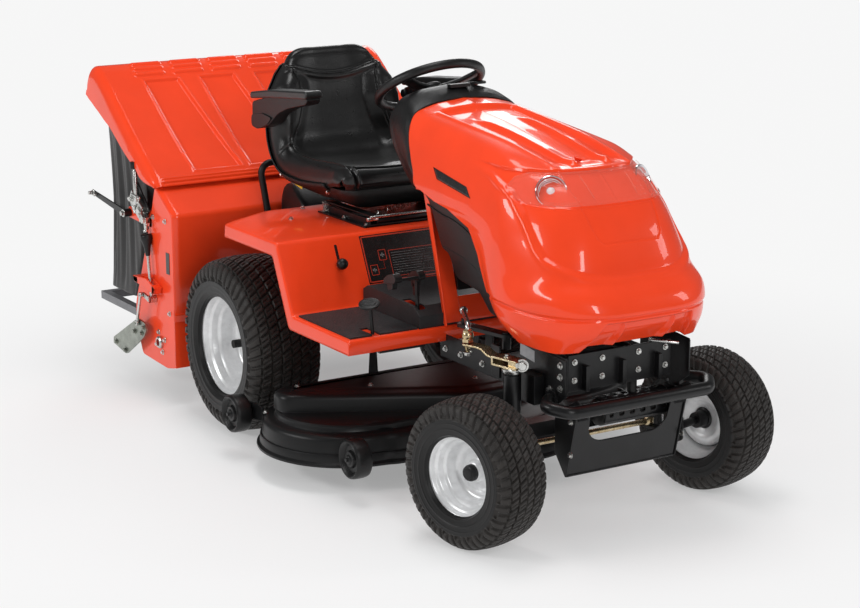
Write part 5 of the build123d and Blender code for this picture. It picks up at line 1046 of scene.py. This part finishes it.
P = np.concatenate([top, und], axis=1); g = g_grid(P, False, True); m_ = P.shape[1]
g[1].append(list(range(m_))[::-1]); g[1].append([(NS - 1) * m_ + k for k in range(m_)])
pad = make("seat_bucket_vinyl", g, VINYL, "seat", ["seat_cushion", "seat_back"], angle=180)
# piping along the seams
gs = []
for s in (-1, 1):
    idx = [i for i in range(NS) if sc_[5] + .006 < sq[i] < sc_[16] + .012 and seam_s[i] < .97][::5]
    gs.append(g_sweep([seat_p(i, s * (seam_s[i] + .012), .0026) for i in idx], [(.0023 * math.cos(k), .0023 * math.sin(k)) for k in np.linspace(0, 2 * math.pi, 9)[:-1]]))
arcp = []
for t in np.linspace(-.90, .90, 46):
    sv = sc_[15] + .020 + .062 * abs(t) ** 2 - .003; i = int(np.argmin(abs(sq - sv))); arcp.append(seat_p(i, t, .0026))
gs.append(g_sweep(arcp, [(.0021 * math.cos(k), .0021 * math.sin(k)) for k in np.linspace(0, 2 * math.pi, 9)[:-1]]))
i = int(np.argmin(abs(sq - sc_[5] - .0075))); gs.append(g_sweep([seat_p(i, t, .0022) for t in np.linspace(-.82, .82, 50)], [(.0018 * math.cos(k), .0018 * math.sin(k)) for k in np.linspace(0, 2 * math.pi, 9)[:-1]]))
make("seat_piping", merge(*gs), VINYL, "seat", ["seat_cushion", "seat_back"], angle=70)
# moulded shell that carries the pad
ish = np.arange(int(np.argmin(abs(sq - sc_[7]))), NS - 4, 2); TS = np.linspace(-1, 1, 70)
P = np.zeros((len(ish), 70, 3))
for a, i in enumerate(ish):
    for b, t in enumerate(TS):
        e = max(0, (abs(t) - .90) / .10); h = -T_s[i] - .013 + .022 * e ** 2 * (1 + 0 * e); y = (hw_s[i] + .006) * t
        P[a, b] = V(cp[i, 0] + cnn[i, 0] * h, y, cp[i, 1] + cnn[i, 1] * h - .034 * _w[i] * abs(t) ** 4)
make("seat_shell_back", g_grid(P), SHELLP, "seat", "seat_pan", angle=60, solid=.004, offset=1)
rows_ = []
for z, x0, x1, hw, rr in ((.7035, -1.19, -1.005, .150, .03), (.712, -1.26, -.992, .172, .04), (.726, -1.34, -.980, .196, .05), (.742, -1.40, -.972, .212, .055), (.756, -1.425, -.968, .222, .06), (.766, -1.43, -.972, .224, .06)):
    ring = rounded([(x0, -hw), (x1, -hw), (x1, hw), (x0, hw)], rr, 8); rows_.append(np.concatenate([ring + [FX, 0], np.full((len(ring), 1), z)], 1))
g = g_grid(np.array(rows_), False, True); nr = len(rows_[0]); g[1].append(list(range(nr))); g[1].append([5 * nr + k for k in range(nr)])
make("seat_shell_base", g, SHELLP, "seat", "seat_pan", angle=60)
make("seat_tag", g_prism([(-1.320, .738), (-1.265, .727), (-1.255, .745), (-1.318, .756)], -.2145, -.2135), YEL, "seat", "seat_pan", bevel=.0002)
make("seat_fixings", merge(*[g_bolt(V(x, s * .2125, z), (0, s, -.3), .006) for s in (-1, 1) for x, z in ((-1.40, .752), (-1.36, .748), (-1.10, .745))]), STEEL, "seat", "seat_pan", angle=30)
# armrests: padded top over a tapered moulding
for s, tag in ((-1, "right"), (1, "left")):
    body = rounded([(-1.425, .990), (-1.425, .914), (-1.385, .908), (-1.315, .930), (-1.255, .972), (-1.19, .996), (-1.075, 1.022), (-1.062, 1.040), (-1.10, 1.042), (-1.30, 1.022)], .014, 5)
    make("armrest_moulding_" + tag, g_prism(body.tolist(), s * .252, s * .300), SATIN, "armrest_" + tag[0], "armrest_" + tag, bevel=.007, bseg=3, angle=40)
    lower = rounded([(-1.424, .950), (-1.424, .914), (-1.385, .908), (-1.32, .930), (-1.29, .955), (-1.35, .962)], .012, 5)
    make("armrest_cheek_" + tag, g_prism(lower.tolist(), s * .249, s * .304), SATIN, "armrest_" + tag[0], "armrest_" + tag, bevel=.006, bseg=3, angle=40)
    pad_ = rounded([(-1.428, 1.020), (-1.428, .998), (-1.30, 1.016), (-1.10, 1.036), (-1.066, 1.040), (-1.060, 1.052), (-1.072, 1.063), (-1.10, 1.060), (-1.30, 1.041)], .010, 5)
    pm = make("armrest_pad_" + tag, g_prism(pad_.tolist(), s * .246, s * .306), VINYL, "armrest_" + tag[0], "armrest_" + tag, bevel=.009, bseg=4, angle=40)
    make("armrest_pin_" + tag, g_rod(V(-1.405, s * .2375, .975), V(-1.405, s * .250, .975), .014), SATIN, "armrest_" + tag[0], "armrest_" + tag, angle=40)
# hoop, tank cover, suspension
make("seat_hoop_tube", g_tube([V(-1.535, -.187, .438), V(-1.535, -.187, .560), V(-1.535, -.222, .768), V(-1.535, .222, .768), V(-1.535, .187, .560), V(-1.535, .187, .438)], .011, .034, 26), SATIN, "chassis", "seat_hoop", angle=60)
rows_ = []
for z, x0, x1, hw, rr in ((.500, -1.500, -1.320, .170, .02), (.640, -1.500, -1.320, .170, .02), (.662, -1.500, -1.345, .168, .02), (.690, -1.500, -1.405, .160, .02), (.701, -1.495, -1.44, .150, .015), (.705, -1.488, -1.46, .14, .01)):
    ring = rounded([(x0, -hw), (x1, -hw), (x1, hw), (x0, hw)], rr, 7); rows_.append(np.concatenate([ring + [FX, 0], np.full((len(ring), 1), z)], 1))
g = g_grid(np.array(rows_), False, True); nr = len(rows_[0]); g[1].append(list(range(nr))); g[1].append([5 * nr + k for k in range(nr)])
make("tank_cover", g, SATIN, "chassis", "fuel_tank", angle=40)
gs = [g_box(-1.190, -.902, -.200, .200, .6655, .6700)]
for s in (-1, 1):
    gs += [g_box(-1.185, -.905, s * .150, s * .154, .670, .7015), g_box(-1.185, -.905, s * .150, s * .180, .698, .7015), g_box(-1.185, -.905, s * .176, s * .180, .670, .690)]
    gs += [g_rod(V(-1.17, s * .165, .672), V(-.93, s * .165, .694), .006), g_rod(V(-.93, s * .168, .672), V(-1.17, s * .168, .694), .006)]
gs += [g_box(-.9065, -.902, -.196, .196, .6665, .6735), g_rod(V(-.915, -.15, .682), V(-.915, .15, .682), .010)]
make("suspension_plates", merge(*gs), BLK, "seat_base_body", "seat_base", bevel=.001, angle=30)
gs = [g_rod(V(-.905, -.178, .695), V(-.905, .178, .695), .0042), g_rod(V(-.91, -.186, .688), V(-.91, -.150, .688), .0065)]
gs += [g_bolt(V(x, s * .185, .6705), (0, 0, 1), .006) for s in (-1, 1) for x in (-.915, -1.05, -1.175)]
sp = [V(-1.165 + .012 * math.cos(k * .8), -.184 + .010 * math.sin(k * .8), .6725 + k * .0006) for k in range(46)]
gs += [g_tube(sp, .0015, .001, 6)]
for q in range(5): gs.append(g_tube([V(-1.0 - .03 * q + .010 * math.cos(k * .8), -.10 + .05 * q + k * .0012, .684 + .010 * math.sin(k * .8)) for k in range(30)], .0014, .001, 6))
make("suspension_hardware", merge(*gs), STEEL, "seat_base_body", "seat_base", angle=40)


# ------------------------------------------------------------------ dash, column, side panels
phi = np.linspace(0, 1, 61); kp = np.array([0, .16, .30, .42, .56, .74, 1.0])
ED = np.array([(-.552, .236, .858), (-.576, .228, .893), (-.606, .218, .930), (-.640, .202, .985), (-.655, .178, 1.034), (-.662, .118, 1.060), (-.668, 0, 1.073)])
M1 = np.array([(-.566, .226, .850), (-.592, .226, .895), (-.628, .216, .935), (-.668, .200, .995), (-.684, .176, 1.045), (-.692, .118, 1.074), (-.696, 0, 1.088)])
M2 = np.array([(-.590, .212, .846), (-.622, .214, .893), (-.668, .206, .940), (-.716, .192, 1.002), (-.735, .166, 1.058), (-.742, .112, 1.086), (-.745, 0, 1.100)])
M3 = np.array([(-.628, .190, .838), (-.672, .196, .893), (-.722, .192, .945), (-.770, .178, 1.005), (-.785, .152, 1.052), (-.790, .104, 1.074), (-.792, 0, 1.086)])
M4 = np.array([(-.660, .166, .824), (-.712, .178, .890), (-.762, .178, .948), (-.795, .168, 1.000), (-.800, .144, 1.036), (-.800, .100, 1.054), (-.800, 0, 1.064)])
M5 = np.array([(-.664, .090, .822), (-.716, .098, .890), (-.766, .100, .948), (-.796, .094, .995), (-.798, .084, 1.022), (-.798, .060, 1.036), (-.798, 0, 1.042)])
M6 = np.array([(-.665, 0, .822), (-.717, 0, .890), (-.767, 0, .945), (-.796, 0, .985), (-.797, 0, 1.006), (-.797, 0, 1.018), (-.797, 0, 1.030)])
rows_ = np.array([herm(phi, kp, q) for q in (ED, M1, M2, M3, M4, M5, M6)])
vv3 = np.linspace(0, 6, 61); P = np.zeros((61, 61, 3))
for j in range(61): P[:, j] = herm(vv3, np.arange(7.), rows_[:, j])
P = np.concatenate([P * [1, -1, 1], (P)[:, ::-1][:, 1:]], axis=1); P[..., 0] += FX
make("dash_moulding", g_grid(P), SATIN, "chassis", "dash_cowl", angle=60, solid=.003, offset=0)
gs = [g_rev([(-.004, .031), (.002, .031), (.004, .027), (.0045, .024)], V(-.757, .10, 1.098), (-.1, 0, 1), 28), g_box(-.725, -.705, -.02, .05, 1.096, 1.106)]
gs.append(g_rev([(0, .040), (.03, .036), (.06, .032), (.075, .024)], V(-.795, 0, .988), (-.5075, 0, .8616), 32))
gs.append(g_rod(V(-.800, -.09, 1.0), V(-.818, -.09, 1.004), .009)); gs.append(g_rod(V(-.800, .09, 1.0), V(-.818, .09, 1.004), .009))
make("dash_fittings", merge(*gs), SATIN, "chassis", "dash_cowl", bevel=.001, angle=40)
PN = rounded([(-.540, .838), (-.441, .822), (-.367, .812), (-.260, .780), (-.200, .718), (-.132, .612), (-.096, .552), (-.190, .556), (-.246, .606), (-.361, .622), (-.403, .685), (-.437, .692), (-.505, .815)], .018, 5)
ex_ = np.roll(PN, -1, 0) - np.roll(PN, 1, 0); pn_ = np.stack([-ex_[:, 1], ex_[:, 0]], 1); pn_ /= np.linalg.norm(pn_, axis=1, keepdims=True)
ar_ = .5 * np.sum(PN[:, 0] * np.roll(PN[:, 1], -1) - np.roll(PN[:, 0], -1) * PN[:, 1]); pn_ *= np.sign(ar_)
for s, tag in ((-1, "right"), (1, "left")):
    rows_ = []
    for dd, y in ((0, .2045), (.0, .2145), (.0006, .2165), (.002, .2180), (.004, .2186)):
        q = PN + pn_ * dd; rows_.append(np.stack([q[:, 0] + FX, np.full(len(q), s * y), q[:, 1]], 1))
    g = g_grid(np.array(rows_), False, True); b0_ = 4 * len(PN)
    for tri in tessellate_polygon([[Vector((q_[0], q_[2], 0)) for q_ in rows_[4].tolist()]]): g[1].append([b0_ + k for k in tri])
    make("side_panel_" + tag, g, SATIN, "chassis", "side_panels", angle=30)
    gs = [g_sweep([V(x, s * .2184, z) for x, z in herm(np.linspace(0, 1, 40), np.linspace(0, 1, 8), np.array([(-.512, .806), (-.440, .790), (-.372, .782), (-.290, .756), (-.232, .706), (-.190, .640), (-.150, .580), (-.128, .560)]))], [(.0055 * math.cos(k), .0022 * math.sin(k)) if False else (.0030 * math.cos(k), .0030 * math.sin(k)) for k in np.linspace(0, 2 * math.pi, 11)[:-1]])]
    gs.append(g_sweep([V(x, s * .2180, z) for x, z in ((-.430, .700), (-.34, .690), (-.26, .668), (-.212, .650))], [(.0016 * math.cos(k), .0016 * math.sin(k)) for k in np.linspace(0, 2 * math.pi, 9)[:-1]]))
    make("side_panel_crease_" + tag, merge(*gs), SATIN, "chassis", "side_panels", angle=40)
# steering console: folded red sheet behind the engine
gs = [g_prism([(-.560, .838), (-.534, .838), (-.434, .465), (-.446, .465)], -.205, -.201), g_prism([(-.560, .838), (-.534, .838), (-.434, .465), (-.446, .465)], .201, .205)]
gs += [g_prism([(-.5605, .838), (-.5565, .838), (-.4465, .500), (-.4485, .470), (-.4525, .470), (-.4525, .502)], s * .150, s * .205) for s in (-1, 1)]
gs += [g_prism([(-.5605, .838), (-.5565, .838), (-.5395, .785), (-.5435, .785)], -.150, .150), g_prism([(-.4645, .542), (-.4605, .542), (-.4485, .502), (-.4485, .470), (-.4525, .470), (-.4525, .502)], -.150, .150), g_box(-.600, -.536, -.205, .205, .834, .838), g_box(-.600, -.470, -.15, .15, .792, .797)]
make("console_sheet", merge(*gs), REDB, "chassis", "steering_console", bevel=.0016, angle=30)
make("console_inner", merge(g_prism([(-.470, .56), (-.458, .56), (-.52, .79), (-.532, .79)], -.150, .150), g_rod(V(-.60, -.19, .835), V(-.60, .19, .835), .006)), BLK, "chassis", "steering_console", bevel=.001, angle=30)
# steering wheel
SWc = V(-.852, 0, 1.085); SNn = unit([-math.sin(math.radians(30.5)), 0, math.cos(math.radians(30.5))]); e1 = np.array([0, 1., 0]); e2 = np.cross(SNn, e1)
ringp = [SWc + (e1 * math.cos(a) + e2 * math.sin(a)) * .157 for a in np.linspace(0, 2 * math.pi, 97)[:-1]]
sec = []
for k in range(28):
    a = 2 * math.pi * k / 28; r = .0138 + .0006 * math.cos(3 * a); sec.append((r * math.cos(a), r * math.sin(a)))
gs = [g_sweep(ringp, sec, True)]
WH = merge(*gs); make("wheel_rim", WH, SATIN, "steering", "steering_wheel", angle=60)
gs = []
for k in (90, 210, 330):
    a = math.radians(k); dr = e1 * math.cos(a) + e2 * math.sin(a); tr = np.cross(SNn, dr); secs = []
    for t_, wd, th_, hh in ((.018, .030, .010, -.020), (.045, .024, .009, -.018), (.090, .0165, .0075, -.012), (.125, .0170, .0075, -.005), (.148, .022, .007, .0), (.156, .026, .005, .0)):
        c = SWc + dr * t_ + SNn * hh; ring = []
        for (u_, v_) in ((-1, -.55), (-.8, -1), (.8, -1), (1, -.55), (1, .55), (.8, 1), (-.8, 1), (-1, .55)): ring.append(c + tr * u_ * wd + SNn * v_ * th_ * .8)
        secs.append(ring)
    g = g_grid(np.array(secs), False, True); g[1].append(list(range(8))); g[1].append([40 + q for q in range(8)]); gs.append(g)
gs.append(g_rev([(-.040, 0), (-.040, .026), (-.034, .032), (-.010, .036), (-.004, .034), (.000, .030), (.003, .020), (.004, 0)], SWc, SNn, 44))
make("wheel_spokes", merge(*gs), SATIN, "steering", "steering_wheel", bevel=.0015, angle=50)

# ------------------------------------------------------------------ rear body shell
KP = [(-1.302, .623), (-1.302, .665), (-.862, .665), (-.767, .465), (-.440, .465), (-.440, .423)]
KL = [(-1.302, .623), (-1.302, .623), (-.885, .623), (-.790, .423), (-.444, .423), (-.440, .423)]
RT, LT_, DR = [], [], []
NF = 7
for i in range(6):
    b = np.array(KP[i])
    if i in (0, 5): RT.append(b); LT_.append(np.array(KL[i])); continue
    a, c = np.array(KP[i - 1]), np.array(KP[i + 1]); u_, w_ = unit(a - b), unit(c - b); t = .010 if i in (1, 4) else .013
    la, lb, lc = (np.array(KL[k]) for k in (i - 1, i, i + 1))
    p0, p1 = b + u_ * t, b + w_ * t; fa, fc = t / np.linalg.norm(a - b), t / np.linalg.norm(c - b); l0, l1 = lb + (la - lb) * fa, lb + (lc - lb) * fc
    for k in range(NF):
        q = k / (NF - 1); RT.append((1 - q) ** 2 * p0 + 2 * q * (1 - q) * b + q * q * p1); LT_.append((1 - q) ** 2 * l0 + 2 * q * (1 - q) * lb + q * q * l1)
RT = np.array(RT); LT_ = np.array(LT_)
# extra rows along the long flats
def densify(A, B, m=5):
    oa, ob_ = [A[0]], [B[0]]
    for i in range(1, len(A)):
        n_ = m if np.linalg.norm(A[i] - A[i - 1]) > .05 else 1
        for k in range(1, n_ + 1): oa.append(A[i - 1] + (A[i] - A[i - 1]) * k / n_); ob_.append(B[i - 1] + (B[i] - B[i - 1]) * k / n_)
    return np.array(oa), np.array(ob_)
RT, LT_ = densify(RT, LT_, 12)
rows_ = []
for (x, z), (lx, lz) in zip(RT, LT_):
    ye = .520 - max(0, (-1.196 - x)) * 1.877; ye = max(ye, .321); dn = np.array([lx - x, lz - z]); dl = np.linalg.norm(dn); dn = dn / dl if dl > 1e-6 else np.array([0, -1.]); r = min(.008, dl * .5); row = []
    for y in np.linspace(0, ye - .008, 14): row.append((x + FX, y, z))
    for k in range(1, 7):
        a = math.pi / 2 * k / 6; row.append((x + dn[0] * r * (1 - math.cos(a)) + FX, ye - .008 + .008 * math.sin(a), z + dn[1] * r * (1 - math.cos(a))))
    for k in range(1, 5):
        dd = r + (dl - r) * k / 4; row.append((x + dn[0] * max(dd, 0) + FX, ye, z + dn[1] * max(dd, 0)))
    rows_.append(row)
P = np.array(rows_); P = np.concatenate([(P * [1, -1, 1])[:, ::-1], P[:, 1:]], axis=1)
make("body_shell_sheet", g_grid(P), RED, "chassis", "rear_body_shell", angle=50, solid=.0035, offset=-1)
gs = []
for s in (-1, 1):
    gs.append(g_prism([(-1.300, .440), (-.880, .440), (-.800, .470), (-.862, .661), (-1.300, .661)], s * .262, s * .266))
make("arch_walls", merge(*gs), REDB, "chassis", "rear_body_shell", bevel=.001, angle=30)
gs = [g_box(-.500, -.480, a, b, .408, .461) for a, b in ((-.249, -.245), (-.282, -.278))] + [g_box(-.480, -.460, a, b, .418, .461) for a, b in ((-.410, -.406), (-.440, -.436))] + [g_box(-.942, -.922, a, b, .541, .661) for a, b in ((-.350, -.346), (-.324, -.320))]
gs += [g_rod(V(-.49, -.285, .42), V(-.49, -.243, .42), .004), g_rod(V(-.47, -.442, .43), V(-.47, -.4312, .43), .004), g_rod(V(-.47, -.4148, .43), V(-.47, -.404, .43), .004), g_rod(V(-.932, -.352, .553), V(-.932, -.3432, .553), .004), g_rod(V(-.932, -.3268, .553), V(-.932, -.318, .553), .004)]
for k in range(7): gs.append(g_box(-.70 + .035 * k, -.685 + .035 * k, -.40, -.25, .405, .421))
make("body_under_brackets", merge(*gs), BLK, "chassis", "rear_body_shell", bevel=.0008, angle=30)


RN = unit([.903, 0, .429]); RU = unit([-.095, 0, .2])


def riser(y, z, off=0.):
    x = -.862 + (.665 - z) * .475; return V(x, y, z) + RN * off


def riser_plate(pts, off, th, mat, name, bev=.0004):
    v = [riser(y, z, off) for y, z in pts] + [riser(y, z, off + th) for y, z in pts]; n_ = len(pts)
    f = [list(range(n_)), [n_ + k for k in range(n_)][::-1]] + [[k, k + n_, (k + 1) % n_ + n_, (k + 1) % n_] for k in range(n_)]
    return make(name, (np.array(v), f), mat, "chassis", "rear_body_shell", bevel=bev, angle=30)


# lever slot: a thin dark plate on the riser, painted shade in place of the opening the deck lever passes through
riser_plate([tuple(q) for q in rounded([(-.3345, .572), (-.3345, .640), (-.3255, .640), (-.3255, .572)], .0045, 6)], -.0005, .0009, STICK_AND_SLOT_SHADE, "lever_slot", .0001)
riser_plate([(-.246, .521), (-.246, .6545), (.246, .6545), (.246, .521)], -.0002, .0009, STICK_AND_SLOT_SHADE, "control_plate")


def frame_strip(pts, w_, off=.0007):
    gs = []; m_ = len(pts)
    for i in range(m_):
        a, b = riser(*pts[i], off), riser(*pts[(i + 1) % m_], off); d_ = unit(b - a); nn2 = np.cross(RN, d_)
        gs.append(g_obox((a + b) / 2, d_, nn2, RN, np.linalg.norm(b - a) / 2 + w_, w_, .0004))
    return merge(*gs)


gr = [frame_strip([(-.241, .5255), (-.241, .650), (.241, .650), (.241, .5255)], .0019)]
gr += [frame_strip([(-.194, .582), (-.194, .610), (-.170, .610), (-.170, .582)], .0009), frame_strip([(-.230, .544), (-.230, .571), (-.206, .571), (-.206, .544)], .0009), frame_strip([(-.159, .534), (-.159, .606), (.06, .606), (.06, .534)], .0008)]
gr += [frame_strip([(-.182, .580), (-.182, .558)], .0007), frame_strip([(-.182, .558), (-.204, .558)], .0007)]
make("control_plate_lines", merge(*gr), STICKR, "chassis", "rear_body_shell", angle=30)
rr_ = random.Random(3); gr = []
for k in range(9):
    z = .598 - .0068 * k; x1 = -.152 + (.10 + .08 * rr_.random() if k else .19)
    gr.append(frame_strip([(-.152, z), (x1, z)], .00055))
for cy_, cz_ in ((-.182, .596), (-.218, .5575)):
    gr.append(frame_strip([(cy_ - .005, cz_), (cy_ + .005, cz_)], .0022)); gr.append(frame_strip([(cy_, cz_ - .004), (cy_, cz_ + .004)], .0018))
make("control_plate_marks", merge(*gr), pbr("mark_grey", (.34, .33, .33), .5, var=.1, vscale=60), "chassis", "rear_body_shell", angle=30)
make("platform_bolts", merge(*[g_bolt(V(x, y, .665), (0, 0, 1), .006) for x, y in ((-1.142, -.320), (-1.142, .320), (-1.27, -.21), (-1.27, .21))]), STEEL, "chassis", "rear_body_shell", angle=30)
paint(MAT, "foot_mats"); paint(pbr("tunnel_plastic", (.02, .02, .021), .5, spec=.4, var=.2, vscale=20, bump=.3, bscale=600, bevel=.004), "tunnel_cover")
# edge strips of the tunnel cover and mats stay as carried-over nodes; pedals and lever
gs = [g_rod(V(-.490, -.2745, .420), V(-.490, -.2515, .420), .010), g_tube([V(-.490, -.263, .425), V(-.502, -.263, .597)], .0065, .01, 16), g_prism([(-.512, .55), (-.492, .55), (-.492, .59), (-.516, .586)], -.268, -.258)]
make("drive_pedal_stem", merge(*gs), BLK, "drive_pedal_body", "drive_pedal", bevel=.0008, angle=35)
gs = [g_prism(rounded([(-.532, .5895), (-.476, .604), (-.478, .612), (-.534, .5975)], .003, 3).tolist(), -.350, -.250)]
for y0, y1 in ((-.3505, -.326), (-.272, -.2495)):
    gs.append(g_prism(rounded([(-.536, .586), (-.476, .600), (-.470, .612), (-.486, .626), (-.516, .618), (-.540, .600)], .007, 4).tolist(), y0, y1)); gs.append(g_prism(rounded([(-.520, .572), (-.495, .578), (-.492, .600), (-.525, .595)], .005, 4).tolist(), y0 + .004, y1 - .004))
make("drive_pedal_pad", merge(*gs), SATIN, "drive_pedal_body", "drive_pedal", bevel=.002, angle=35)
gs = [g_rod(V(-.470, -.430, .430), V(-.470, -.416, .430), .009), g_tube([V(-.470, -.423, .434), V(-.484, -.425, .546)], .0052, .01, 16)]
ax = unit(np.array([.002, -.002, .010])); o = V(-.484, -.427, .546)
gs.append(g_rev([(-.001, 0), (-.001, .024), (.001, .029), (.004, .0305), (.008, .0295), (.0095, .026), (.0095, .020), (.0105, .0195), (.0105, .012), (.0098, .0115), (.0098, 0)], o, ax, 40))
make("brake_pedal_disc", merge(*gs), SATIN, "brake_pedal_body", "brake_pedal", bevel=.0006, angle=40)
gs = [g_rod(V(-.932, -.342, .553), V(-.932, -.328, .553), .011), g_tube([V(-.925, -.335, .555), V(-.812, -.335, .5885)], .0052, .01, 16)]
ax = unit(V(-.800, 0, .592) - V(-.812, 0, .5885)); o = V(-.800, -.335, .592)
gs.append(g_rev([(-.017, .007), (-.012, .0125), (-.004, .0165), (.004, .0168), (.011, .0145), (.0155, .0085), (.0168, 0)], o, ax, 36))
make("deck_lever_knob", merge(*gs), SATIN, "deck_lever", "deck_lift_lever", angle=60)

# ------------------------------------------------------------------ net bag, one sagging sheet
NA, NV = 320, 110; ang = np.linspace(0, 2 * math.pi, NA, endpoint=False)
uq = np.zeros((NA, 2))
for k, a in enumerate(ang):       # rounded square in plan, unit half size
    c_, s_ = math.cos(a), math.sin(a); p_ = 9; rr = (abs(c_) ** p_ + abs(s_) ** p_) ** (-1 / p_); uq[k] = (c_ * rr, s_ * rr)
vv4 = np.linspace(0, 1, NV); P = np.zeros((NV, NA, 3)); fold = np.random.RandomState(5); ph_ = fold.rand(6) * 6.28
for i, q in enumerate(vv4):
    down = min(q / .80, 1.); shr = 1 if q < .80 else max(.02, 1 - ((q - .80) / .20))
    for k in range(NA):
        ux, uy = uq[k]; fx_ = (ux + 1) / 2          # 1 at the front
        rz = .897 - .185 * fx_ if fx_ < 1 else .712; rz = np.interp(fx_, [0, .12, .4, .7, 1], [.896, .878, .828, .762, .708])
        z = rz + (.292 - rz) * down
        xf = np.interp(z, [.276, .300, .430, .590, .712], [-1.874, -1.862, -1.806, -1.741, -1.735]); xb = -2.124 + .006 * down
        x = xb + (xf - xb) * fx_; y = .514 * uy
        if q >= .80:
            xm = (xb + xf) / 2; x = xm + (x - xm) * shr; y = y * shr; z = .292 - .014 * math.sin(math.pi / 2 * min(1, (1 - shr) * 3.5))
        arc_ = y * 9 * abs(ux) ** 4 + x * 26 * abs(uy) ** 4
        f_ = (.55 * math.sin(arc_ * 3.1 + ph_[0] + 1.2 * q) + .3 * math.sin(arc_ * 6.3 + ph_[1] - 2 * q) + .25 * math.sin(arc_ * 1.4 + ph_[2]))
        amp = .0085 * sstep(0, .12, q) * sstep(.84, .70, q); sag = .020 * math.sin(math.pi * min(1, q / .8)) * (1 - .4 * f_)
        dxy = np.array([ux * abs(ux) ** 3, uy * abs(uy) ** 3]); nl = np.linalg.norm(dxy); dxy = dxy / max(nl, 1e-6)
        ins = amp * (1 - f_) * .5 + sag * .45
        P[i, k] = V(x - dxy[0] * ins, y - dxy[1] * ins, z)
g = g_grid(P, False, True)
net = make("net_bag", g, NET, "net_body", "collector_net", angle=180)
# rim binding
gs = []
gs.append(g_sweep([P[1, k] + [0, 0, -.002] for k in range(0, NA, 4)], [(.004 * math.cos(k), .004 * math.sin(k)) for k in np.linspace(0, 2 * math.pi, 9)[:-1]], True))
make("net_binding", gs[0], BLK, "net_body", "collector_net", angle=70)
